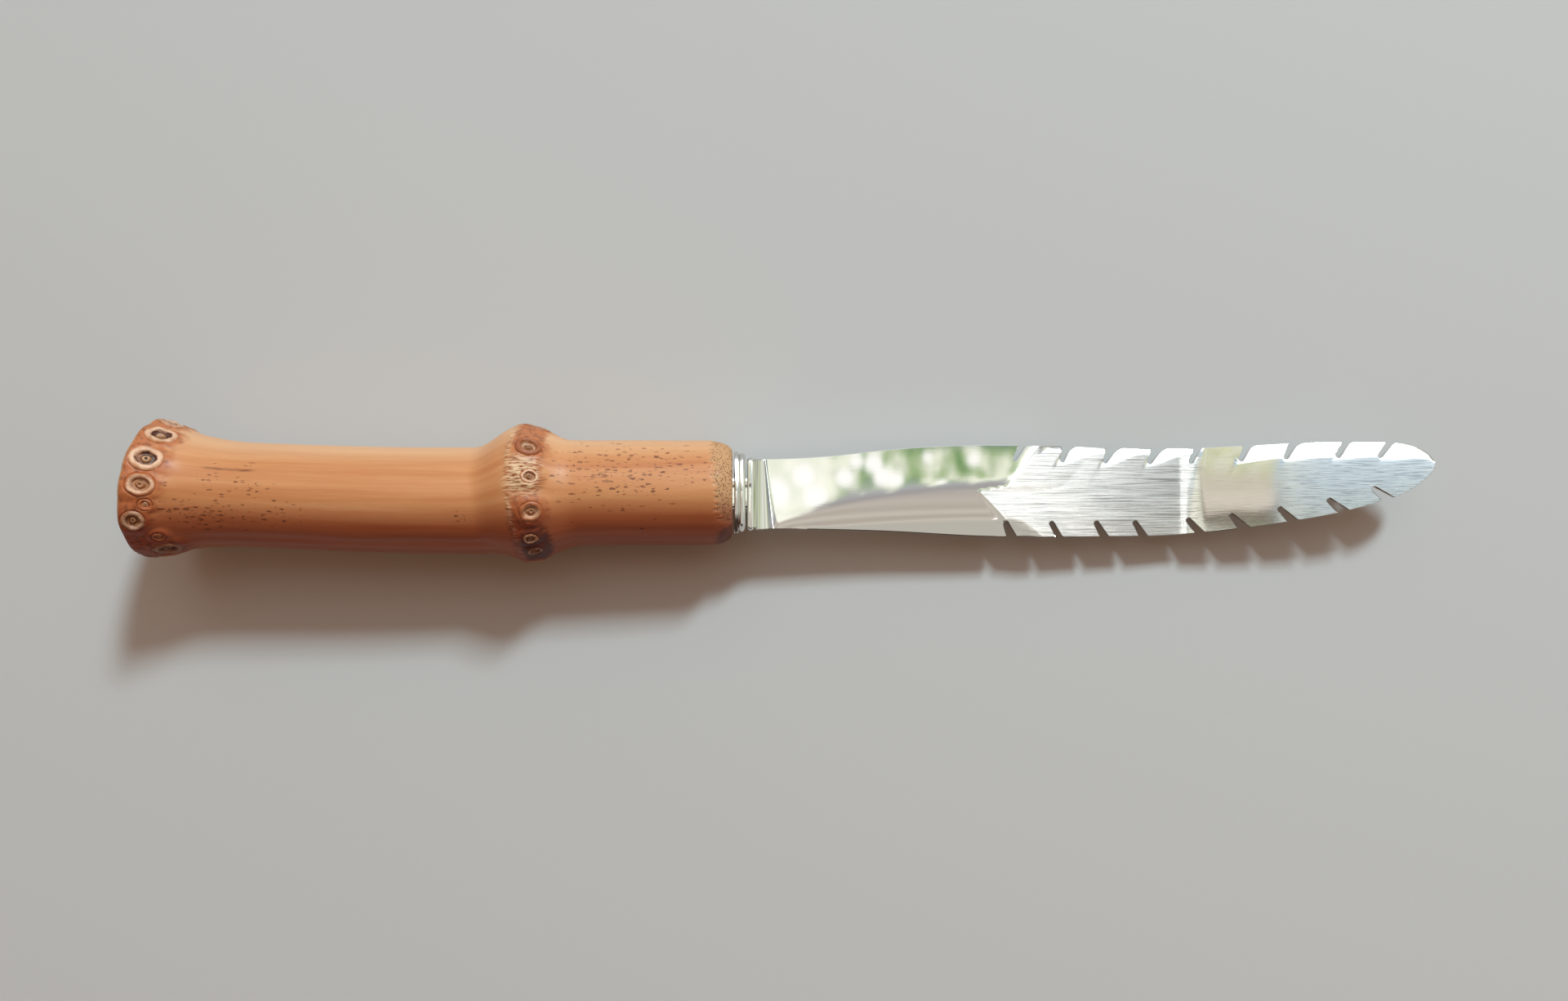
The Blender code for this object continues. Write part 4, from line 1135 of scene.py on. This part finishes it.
def face_height(x, y, side):
    """Height of the upper (1) or the under face (-1) over the blade's middle plane."""
    share = np.clip((x - BLADE_X) / BLADE_LENGTH, 0, 1)
    half = (ROOT_THICKNESS + (TIP_THICKNESS - ROOT_THICKNESS) * share) / 2
    sweep = np.clip((x - BLADE_X) / (FILLET_LENGTH - FILLET_SLANT * y), 0, 1)
    half = half + (BEAD_HEIGHT - ROOT_THICKNESS) / 2 * (1 - np.sqrt(1 - (1 - sweep) ** 2))
    fan_y = through_points(FAN_LINE, x / MM) * MM
    low, high = edge_y(x, LOWER_EDGE), edge_y(x, UPPER_EDGE)
    before = (1 - smooth(past_chevron(x, y) / FAN_END)) * smooth((x - BLADE_X) / FAN_START)
    for divisor, slope in FAN_SLOPES:
        crease = low + (fan_y - low) / divisor
        half = half - slope * before * np.logaddexp(0, (crease - y) / FAN_SOFTNESS) * FAN_SOFTNESS
    half = half - REGRIND_SLOPE * np.clip(past_chevron(x, y), 0, REGRIND_RUN)
    lower_bevel, upper_bevel = bevel_widths(x, y)
    into = np.minimum((y - low) / lower_bevel, (high - y) / upper_bevel)
    fall = np.clip((np.hypot(1 - into, SOFT_CREASE) + 1 - into) / 2, 0, 1)
    lower_side = y - low < high - y
    edge = np.where(lower_side, LOWER_EDGE_THICKNESS, EDGE_THICKNESS)
    cut = fall * ground_share(x) * bevel_depth(x, y, lower_side, side)
    return half - np.maximum(0, half - edge / 2) * cut


for place in (BLADE_X + 4 * MM, TIP_X - 12 * MM):
    print("thickness in mm:", round(sum(float(face_height(place, 1 * MM, side)) for side in (1, -1)) / MM, 2))

# %% Fill the outline with an even mesh
COLUMN = 0.22 * MM
COLUMN_LEAD = 0.2 * MM
ROWS = 58
CLEAR_OF_EDGE = 0.19 * MM
CHAMFER = 0.09 * MM
CHAMFER_DROP = 0.8 * CHAMFER
CHAMFER_CLEAR = 0.8 * CHAMFER
MERGE_GAP = 0.0001

columns = np.arange(BLADE_X - COLUMN_LEAD, TIP_X - COLUMN_LEAD, COLUMN)
low, high = edge_y(columns, LOWER_EDGE), edge_y(columns, UPPER_EDGE)
inside = np.concatenate([np.stack((columns, low + (high - low) * i / ROWS), axis=-1) for i in range(1, ROWS)])
onward = np.roll(outline, -1, axis=0) - np.roll(outline, 1, axis=0)
onward /= np.linalg.norm(onward, axis=1, keepdims=True)
chamfer_line = outline + CHAMFER * np.stack((onward[:, 1], -onward[:, 0]), axis=-1)
rim_tree = kdtree.KDTree(len(outline))
for i, (rim_x, rim_y) in enumerate(outline):
    rim_tree.insert((rim_x, rim_y, 0), i)
rim_tree.balance()


def clear_of_edge(points, gap):
    """The points that lie further from the outline than a gap."""
    return [point for point in points if rim_tree.find((point[0], point[1], 0))[2] > gap]


inner = clear_of_edge(chamfer_line, CHAMFER_CLEAR) + clear_of_edge(inside, CLEAR_OF_EDGE)
flat_points = [Vector(point) for point in np.concatenate((outline, inner)) / MM]
filled = geometry.delaunay_2d_cdt(flat_points, [], [list(range(len(outline)))], 1, MERGE_GAP)
fill_points, fill_faces = np.array(filled[0]) * MM, filled[2]
used = sorted({i for face in fill_faces for i in face})
print("face of", len(used), "points and", len(fill_faces), "triangles")

# %% The blade's two faces and its rim
TWIST_Y = 3.5 * MM

new_index = {old: new for new, old in enumerate(used)}
plan = fill_points[used]
count = len(plan)
over, under = (face_height(plan[:, 0], plan[:, 1], side) for side in (1, -1))
for height in (over, under):
    height[:len(outline)] -= CHAMFER_DROP
lift = tip_lift(plan[:, 0]) + tip_twist(plan[:, 0]) * (plan[:, 1] - TWIST_Y)
points = np.concatenate((np.column_stack((plan, lift + over)), np.column_stack((plan, lift - under))))
top = [tuple(new_index[i] for i in face) for face in fill_faces]
faces = top + [tuple(i + count for i in reversed(face)) for face in top]
sides_used = dict.fromkeys(side for face in top for side in zip(face, face[1:] + face[:1]))
rim = [(a, b) for a, b in sides_used if (b, a) not in sides_used]
faces += [(b, a, a + count, b + count) for a, b in rim]
print("blade of", len(faces), "faces,", len(rim), "of them round the rim")

# %% Bead, tang and the blade's piece
TANG_END = (3.4 * MM, 2.2 * MM)
TANG_LENGTH = 60 * MM
BEAD_PROUD = 0.25 * MM
BEAD_CORNER = (0.7 * MM, 1.4 * MM)
BEAD_RINGS = 15
BLADE_SHARP = math.radians(35)
BRUSHED_START = 1.2 * MM
# Past the bend most of the belt's lines are buffed away, and some come back further along
BUFFED_BEND = (0.90, 1.5 * MM)
LINES_AGAIN = (0.50, 11 * MM, 3 * MM)


def tang_ring(x):
    """A section of the tang at x."""
    share = np.clip(-x / TANG_LENGTH, 0, 1)
    half_width, half_height = ((root + (end - root) * share) / 2 for root, end in zip(TANG_ROOT, TANG_END))
    return section(x, half_width, half_height, (half_height / 2, half_height / 2))


def bead_ring(share):
    """A section of the bead, at a share of its length."""
    proud = BEAD_PROUD * math.sqrt(max(0.0, 1 - (2 * share - 1) ** 2))
    ring = section(BLADE_X - BEAD_LENGTH * (1 - share), NECK_WIDTH / 2 + proud, BEAD_HEIGHT / 2 + proud,
                   BEAD_CORNER)
    ring[:, 1] += (edge_y(BLADE_X, UPPER_EDGE) + edge_y(BLADE_X, LOWER_EDGE)) / 2
    return ring


neck_rings = [tang_ring(x) for x in (-TANG_LENGTH, -0.5 * TANG_LENGTH, 0, BLADE_X - BEAD_LENGTH)]
neck_rings += [bead_ring(share) for share in (1 - np.cos(np.linspace(0, math.pi, BEAD_RINGS))) / 2]
neck_rings = np.array(neck_rings)
faces += [tuple(i + 2 * count for i in face) for face in ring_faces(*neck_rings.shape[:2])]
points = np.concatenate((points, neck_rings.reshape(-1, 3)))
past_bend = points[:, 0] - BEND_X
brushed = smooth(past_chevron(points[:, 0], points[:, 1]) / BRUSHED_START)
buffed_away = BUFFED_BEND[0] * smooth(past_bend / BUFFED_BEND[1])
brushed *= 1 - buffed_away + LINES_AGAIN[0] * smooth((past_bend - LINES_AGAIN[1]) / LINES_AGAIN[2])
blade = make_piece("notched_blade", points, faces, {"brushed": brushed})
blade.data.set_sharp_from_angle(angle=BLADE_SHARP)
print("blade with bead and tang:", len(blade.data.polygons), "faces")

# %% [markdown]
# ## Finish: stainless steel, polished and brushed
#
# Near the handle the blade is buffed to a mirror, and past the chevron it keeps the lengthwise lines of
# the belt that ground it. A mirror needs little more than a low roughness. Brushed steel is rough across
# its lines and smooth along them, which pulls each highlight into a bar across the blade, so the shader
# gets anisotropy with its tangent across the knife. The lines are drawn at about 0.12 mm, coarser than
# real grit, so that they show.

# %% Polished and brushed steel
STEEL = "#E2E0DC"
STEEL_SHADE = "#A3A19C"
LINE = (9 * MM, 0.12 * MM, 0.5 * MM)
SCRATCH = (1.6 * MM, 0.3 * MM, 1.0 * MM)
LINE_DEPTH = 0.05 * MM

across_map = blade.data.uv_layers.new(name="across_knife")
corner_points = np.zeros(len(blade.data.loops), np.int32)
blade.data.loops.foreach_get("vertex_index", corner_points)
across_map.data.foreach_set("uv", (points[corner_points, 1::-1] / BLADE_LENGTH).astype(np.float32).ravel())

# Stainless steel, buffed and then belt-ground: a sharp mirror, and highlights drawn out across the lines
steel, tree, shader = new_finish("stainless_polished_and_brushed")
place = knife_space(tree)
drawn_out = []
for cell, detail, roughness in ((LINE, 5.0, 0.6), (SCRATCH, 3.0, 0.5)):
    stretched = add(tree, "ShaderNodeVectorMath", {0: place, 1: per_metre(cell)}, operation="MULTIPLY")
    drawn_out.append(add(tree, "ShaderNodeTexNoise", {"Vector": stretched, "Scale": 1.0, "Detail": detail,
                                                      "Roughness": roughness}))
lines, nicks = drawn_out
brushed_share = add(tree, "ShaderNodeAttribute", out="Fac", attribute_name="brushed")
satin = add(tree, "ShaderNodeMapRange", {"Value": lines, 1: 0.3, 2: 0.7, 3: 0.12, 4: 0.22})
gloss = add(tree, "ShaderNodeMix", {0: brushed_share, 2: 0.03, 3: satin})
dark_line = add(tree, "ShaderNodeMapRange", {"Value": lines, 1: 0.50, 2: 0.36, 3: 0.0, 4: 0.9})
dark_line = add(tree, "ShaderNodeMath", {0: dark_line, 1: brushed_share}, operation="MULTIPLY")
colour = add(tree, "ShaderNodeMix", {0: dark_line, 6: STEEL, 7: STEEL_SHADE}, **COLOURS)
height = add(tree, "ShaderNodeMix", {0: 0.45, 2: lines, 3: nicks})
strength = add(tree, "ShaderNodeMapRange", {"Value": brushed_share, 3: 0.01, 4: 0.22})
bump = add(tree, "ShaderNodeBump", {"Height": height, "Strength": strength, "Distance": LINE_DEPTH})
tangent = add(tree, "ShaderNodeTangent", direction_type="UV_MAP", uv_map="across_knife")
feed(tree, shader, {"Base Color": colour, "Metallic": 1.0, "Roughness": gloss, "Anisotropic": 0.75,
                    "Tangent": tangent, "Normal": bump})
blade.data.materials.append(steel)
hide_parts("blade")
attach(blade, "root")
print("steel: lines of", LINE[1] / MM, "mm")

# %% [markdown]
# ## Finish: buffed collar and cement
#
# The collar is the same steel, buffed all over, with the fine marks that a cloth wheel leaves. The
# cement is a dark filler inside the handle. It can't be seen on a whole knife, but it is a piece of the
# assembly, so its CAD solid stays and gets a gritty finish of its own.

# %% Buffed steel
WHEEL_MARK = (0.12 * MM, 1.5 * MM, 1.5 * MM)

# Stainless steel off a cloth wheel: a mirror that is a little blurred round the collar
buffed, tree, shader = new_finish("buffed_stainless")
wheel_place = add(tree, "ShaderNodeVectorMath", {0: knife_space(tree), 1: per_metre(WHEEL_MARK)},
                  operation="MULTIPLY")
wheel = add(tree, "ShaderNodeTexNoise", {"Vector": wheel_place, "Scale": 1.0})
soft = add(tree, "ShaderNodeMapRange", {"Value": wheel, 3: 0.05, 4: 0.13})
feed(tree, shader, {"Base Color": STEEL, "Metallic": 1.0, "Roughness": soft})
collar.data.materials.append(buffed)
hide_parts("bolster_collar")
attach(collar, "root")
print("collar: wheel marks of", WHEEL_MARK[0] / MM, "mm")

# %% Cement
CEMENT_DARK = "#2B221B"
CEMENT_GRIT = "#54463A"
GRIT = 0.4 * MM

# Resin with grit, poured and set: dark, grainy and without gloss
filler, tree, shader = new_finish("tang_filler")
grit = add(tree, "ShaderNodeTexNoise", {"Vector": knife_space(tree), "Scale": 1 / GRIT, "Detail": 3.0})
colour = add(tree, "ShaderNodeMix", {0: grit, 6: CEMENT_DARK, 7: CEMENT_GRIT}, **COLOURS)
feed(tree, shader, {"Base Color": colour, "Roughness": 0.8})
cement = frame["nodes"]["tang_cement"]
cement.data.materials.clear()
cement.data.materials.append(filler)
print("cement: grit of", GRIT / MM, "mm")

# %% [markdown]
# ## Floor, light and camera
#
# The knife lies on a plain pale floor. A small lamp at the upper right gives the shadow its edge, as a
# window would, and a broad one above it softens the light. A warm dim room gives the rest, so that the
# handle's lower side falls into warm shade. What the steel mirrors is a paler picture of such a room:
# white and leaf green overhead, a bright strip further along, pale blue towards the lamp and beige away
# from it. It is drawn on the world for glossy rays only, so that it doesn't tint the floor. The camera
# looks straight down.

# %% Floor
FLOOR_GREY = "#C3C5C5"
FLOOR_SIZE = 3.0

half_floor = FLOOR_SIZE / 2
corners = [(side * half_floor, end * half_floor, 0) for side, end in ((-1, -1), (1, -1), (1, 1), (-1, 1))]
floor_mesh = bpy.data.meshes.new("floor")
floor_mesh.from_pydata(corners, [], [(0, 1, 2, 3)])
floor = put("floor", floor_mesh)
# Matt paper: no pattern and no gloss, so that only light and shadow show on it
paper, tree, shader = new_finish("pale_floor")
feed(tree, shader, {"Base Color": FLOOR_GREY, "Roughness": 0.9, "Specular IOR Level": 0.1})
floor_mesh.materials.append(paper)
print("floor of", FLOOR_SIZE, "m")

# %% Lamps
LAMP_WHITE = "#E2F8FF"
LAMP_DISTANCE = 1.5
# Azimuth from +Y to +X and height in degrees, width and height in metres, power in watts
LAMPS = {"window": (24, 40.5, 0.18, 0.24, 20.5), "sky": (10, 55, 1.6, 1.2, 4.9)}

for name, (azimuth, height, width, length, power) in LAMPS.items():
    light = bpy.data.lights.new(name, "AREA")
    light.shape = "RECTANGLE"
    light.size, light.size_y = width, length
    light.energy = power
    light.color = linear(LAMP_WHITE)[:3]
    lamp = put(name, light)
    azimuth, height = math.radians(azimuth), math.radians(height)
    level_run = math.cos(height)
    towards = Vector((math.sin(azimuth) * level_run, math.cos(azimuth) * level_run, math.sin(height)))
    lamp.location = towards * LAMP_DISTANCE
    lamp.rotation_euler = towards.to_track_quat("Z", "Y").to_euler()
    print(name, "lamp at", [round(c, 2) for c in lamp.location])

# %% The room that lights the knife
ROOM_WARM = "#B28769"
ROOM_DARK = "#453C38"
ROOM_BRIGHT = "#E6EDF2"
ROOM_DIM = "#43372F"
GARDEN_EDGE = "#BFC1BD"
# The garden past the tip, from the floor upwards: hedges with light between them
GARDEN = ((0.0, "#8C8A84"), (0.12, "#F4F8EC"), (0.20, "#A9C481"), (0.27, "#FFFFF4"), (0.38, "#8FAE68"),
          (0.44, "#FFFFFF"), (0.52, "#DCE9C4"), (0.60, "#FFFFFF"))
FILL_AIM = (0.0, 0.5, 0.6)

world = bpy.data.worlds.new("room")
world.use_nodes = True
bpy.context.scene.world = world
tree = world.node_tree
look = add(tree, "ShaderNodeTexCoord", out="Generated")
sides = add(tree, "ShaderNodeSeparateXYZ", {0: look}, out=None)
look_along, look_across, look_up = sides.outputs
fill_aim = add(tree, "ShaderNodeVectorMath", {0: look, 1: FILL_AIM}, out="Value", operation="DOT_PRODUCT")
fill_share = add(tree, "ShaderNodeMapRange", {"Value": fill_aim, 1: -0.35, 2: 0.65})
fill = add(tree, "ShaderNodeMix", {0: fill_share, 6: ROOM_DARK, 7: ROOM_WARM}, **COLOURS)
lamp_side = add(tree, "ShaderNodeMapRange", {"Value": look_across, 1: -0.3, 2: 0.3})
walls = add(tree, "ShaderNodeMix", {0: lamp_side, 6: ROOM_DIM, 7: ROOM_BRIGHT}, **COLOURS)
garden = add(tree, "ShaderNodeMapRange", {"Value": look_along, 1: 0.35, 2: 0.5})
garden_tone = add(tree, "ShaderNodeValToRGB", {0: look_up}, stops=GARDEN)
aside = add(tree, "ShaderNodeMath", {0: look_across}, operation="ABSOLUTE")
aside = add(tree, "ShaderNodeMapRange", {"Value": aside, 1: 0.25, 2: 0.45})
garden_tone = add(tree, "ShaderNodeMix", {0: aside, 6: garden_tone, 7: GARDEN_EDGE}, **COLOURS)
walls = add(tree, "ShaderNodeMix", {0: garden, 6: walls, 7: garden_tone}, **COLOURS)
print("room: warm and dim")

# %% Bands of colour overhead
# Places overhead are measured along and across the knife for each unit of height, from a least height up
LEAST_HEIGHT = 0.05
CEILING = ((0.0, "#CFCBC2"), (0.33, "#DDD6CB"), (0.375, "#C4BBB0"), (0.40, "#E2DBD0"), (0.425, "#C6BCB2"),
           (0.445, "#D9D1C7"), (0.475, "#B2AEB0"), (0.52, "#C6CCD2"), (0.585, "#8C98A0"), (0.63, "#A2B0BA"),
           (0.68, "#D6EBFF"), (0.73, "#D2EAFF"), (1.0, "#FFFFFF"))
FAR_TREES = ((0.0, "#FFFFFF"), (0.08, "#8FA868"), (0.16, "#FFFFF0"), (0.38, "#FFFFFF"), (0.46, "#86A257"),
             (0.54, "#FFFFE8"), (0.72, "#FFFFFF"), (0.80, "#9CB56E"), (0.90, "#FFFFFF"))
SILL = ((0.0, "#6E6656"), (0.20, "#786F5F"), (0.31, "#FFF6EA"), (0.42, "#F2E9DC"), (0.52, "#D2CBBB"),
        (0.60, "#E6E2CC"))

steep = add(tree, "ShaderNodeMath", {0: look_up, 1: LEAST_HEIGHT}, operation="MAXIMUM")
along, across = (add(tree, "ShaderNodeMath", {0: run, 1: steep}, operation="DIVIDE")
                 for run in (look_along, look_across))
bands = []
for value, start, end, stops in ((across, -0.3, 0.3, CEILING), (along, 0.55, 1.35, FAR_TREES),
                                 (across, 0.05, 0.15, SILL)):
    run = add(tree, "ShaderNodeMapRange", {"Value": value, 1: start, 2: end})
    bands.append(add(tree, "ShaderNodeValToRGB", {0: run}, stops=stops))
ceiling, far_tone, sill_tone = bands
print("tints overhead:", len(CEILING), "across,", len(FAR_TREES), "further along,", len(SILL), "on the sill")

# %% Leaves overhead
LEAF_SIZE = 0.020
LEAF_STRENGTH = 1.4
HEDGE_LEAF = 0.009
LEAVES = ((0.30, "#6E9160"), (0.42, "#9CB483"), (0.52, "#BFC9B2"), (0.62, "#E9EEDB"))
HEDGE = ((0.34, "#A2B06C"), (0.44, "#EAF0BC"), (0.54, "#FFFFE6"), (0.62, "#FFFFFF"))
PALE_LEAF = "#FBFCF2"
RAGGED_EDGE = 0.04

flat_look = add(tree, "ShaderNodeCombineXYZ", {0: along, 1: across})
leaves, stems = (add(tree, "ShaderNodeTexNoise", {"Vector": flat_look, "Scale": 1 / size, "Detail": detail},
                     noise_dimensions="2D") for size, detail in ((LEAF_SIZE, 3.0), (HEDGE_LEAF, 2.0)))
leaf_tone = add(tree, "ShaderNodeValToRGB", {0: leaves}, stops=LEAVES)
hedge_tone = add(tree, "ShaderNodeValToRGB", {0: stems}, stops=HEDGE)
pale_end = add(tree, "ShaderNodeMapRange", {"Value": along, 1: 0.165, 2: 0.148, 3: 0.0, 4: 0.75})
leaf_tone = add(tree, "ShaderNodeMix", {0: pale_end, 6: leaf_tone, 7: PALE_LEAF}, **COLOURS)
leaf_tone = add(tree, "ShaderNodeVectorMath", {0: leaf_tone, "Scale": LEAF_STRENGTH}, operation="SCALE")
# The leaves end in a ragged edge, which dips towards the handle and further still behind it
dip = add(tree, "ShaderNodeMapRange", {"Value": along, 1: 0.12, 2: 0.175, 3: 0.045, 4: 0.0})
behind = add(tree, "ShaderNodeMapRange", {"Value": along, 1: 0.085, 2: 0.03, 3: 0.0, 4: 0.07})
leaf_edge = add(tree, "ShaderNodeMath", {0: leaves, 1: RAGGED_EDGE, 2: dip}, operation="MULTIPLY_ADD")
for part in (across, behind):
    leaf_edge = add(tree, "ShaderNodeMath", {0: leaf_edge, 1: part}, operation="ADD")
print("leaves of", LEAF_SIZE, "and", HEDGE_LEAF, "of the height")

# %% Gaps of sky and the layers overhead
SHADE_GREY = "#97958C"
SKY_WHITE = (1.4, 1.4, 1.4, 1.0)
# Where the sky shows through the leaves: its place along and across overhead and its half width
SKY_GAPS = ((0.167, 0.020, 0.0085), (0.178, 0.035, 0.0065), (0.193, 0.033, 0.0085), (0.202, 0.021, 0.0090),
            (0.213, 0.018, 0.0080), (0.285, 0.037, 0.0060), (0.243, 0.039, 0.0050), (0.256, 0.011, 0.0055),
            (0.130, 0.022, 0.0100), (0.105, 0.006, 0.0130), (0.141, 0.002, 0.0110))
GAP_SOFTNESS = 0.2


def all_past(bounds, share=1.0):
    """A share, where each value is past its bound, and 0 where one isn't. A bound: value, start and end."""
    for value, start, end in bounds:
        past = add(tree, "ShaderNodeMapRange", {"Value": value, 1: start, 2: end})
        share = add(tree, "ShaderNodeMath", {0: share, 1: past}, operation="MULTIPLY")
    return share


# Each layer's bounds overhead: where it starts and where it is full
shade = add(tree, "ShaderNodeMapRange", {"Value": along, 1: 0.365, 2: 0.40, 3: 0.0, 4: 0.35})
sill = all_past(((along, 0.180, 0.174), (across, 0.046, 0.052), (across, 0.260, 0.240)))
hedge = all_past(((across, 0.107, 0.115),), sill)
leafy = all_past(((along, -0.6, -0.5), (along, 0.36, 0.33), (leaf_edge, 0.020, 0.034),
                  (across, 0.055, 0.046)))
beyond = all_past(((along, 0.55, 0.60),))
sky = 0.0
for gap_along, gap_across, gap_size in SKY_GAPS:
    off = add(tree, "ShaderNodeVectorMath", {0: flat_look, 1: (gap_along, gap_across, 0)}, out="Value",
              operation="DISTANCE")
    gap = add(tree, "ShaderNodeMapRange", {"Value": off, 1: gap_size * (1 + GAP_SOFTNESS),
                                           2: gap_size * (1 - GAP_SOFTNESS)})
    sky = add(tree, "ShaderNodeMath", {0: sky, 1: gap}, operation="MAXIMUM")
for share, tone in ((shade, SHADE_GREY), (sill, sill_tone), (hedge, hedge_tone), (leafy, leaf_tone),
                    (beyond, far_tone), (sky, SKY_WHITE)):
    ceiling = add(tree, "ShaderNodeMix", {0: share, 6: ceiling, 7: tone}, **COLOURS)
print("mirrored: leaves, a sill, trees further along and", len(SKY_GAPS), "gaps of sky")

# %% Bright strip, glow and the whole room
# Where the strip rises and where it has risen, where it starts to fall and where it is gone
STRIP = (0.317, 0.328, 0.331, 0.351)
STRIP_SLANT = -0.6
STRIP_STRENGTH = 5.4
GLOW_STRENGTH = 1.2

slant = add(tree, "ShaderNodeMapRange", {"Value": across, 1: 0.014, 2: 0.114, 3: 0.0, 4: 0.1 * STRIP_SLANT})
strip_along = add(tree, "ShaderNodeMath", {0: along, 1: slant}, operation="ADD")
rise, risen, fall, gone = STRIP
strip = all_past(((strip_along, rise, risen), (strip_along, gone, fall), (across, -0.18, -0.10)))
glow = add(tree, "ShaderNodeMapRange", {"Value": across, 1: 0.18, 2: 0.34, 3: 0.0, 4: GLOW_STRENGTH})
strip = add(tree, "ShaderNodeMath", {0: strip, 1: STRIP_STRENGTH, 2: glow}, operation="MULTIPLY_ADD")
ceiling = add(tree, "ShaderNodeVectorMath", {0: ceiling, 1: strip}, operation="ADD")
overhead = add(tree, "ShaderNodeMapRange", {"Value": look_up, 1: 0.55, 2: 0.75})
mirrored = add(tree, "ShaderNodeMix", {0: overhead, 6: walls, 7: ceiling}, **COLOURS)
rays = add(tree, "ShaderNodeLightPath", out=None).outputs
room = add(tree, "ShaderNodeMix", {0: rays["Is Glossy Ray"], 6: fill, 7: mirrored}, **COLOURS)
room = add(tree, "ShaderNodeMix", {0: rays["Is Camera Ray"], 6: room, 7: FLOOR_GREY}, **COLOURS)
feed(tree, tree.nodes["Background"], {"Color": room, "Strength": 1.0})
print("mirrored too: a bright strip, and a glow towards the lamp")

# %% Camera
CAMERA_PLACE = (-1.84 * MM, -1.26 * MM, 177.7 * MM)
SENSOR = 36.0
LENS = 26.0
CLIP_START = 0.01

camera_data = bpy.data.cameras.new("camera")
camera_data.sensor_width = SENSOR
camera_data.lens = LENS
camera_data.clip_start = CLIP_START
camera = put("camera", camera_data)
camera.location = CAMERA_PLACE
bpy.context.scene.camera = camera
bpy.context.scene.view_settings.view_transform = "Standard"
print("camera looks straight down from", CAMERA_PLACE[2] / MM, "mm")
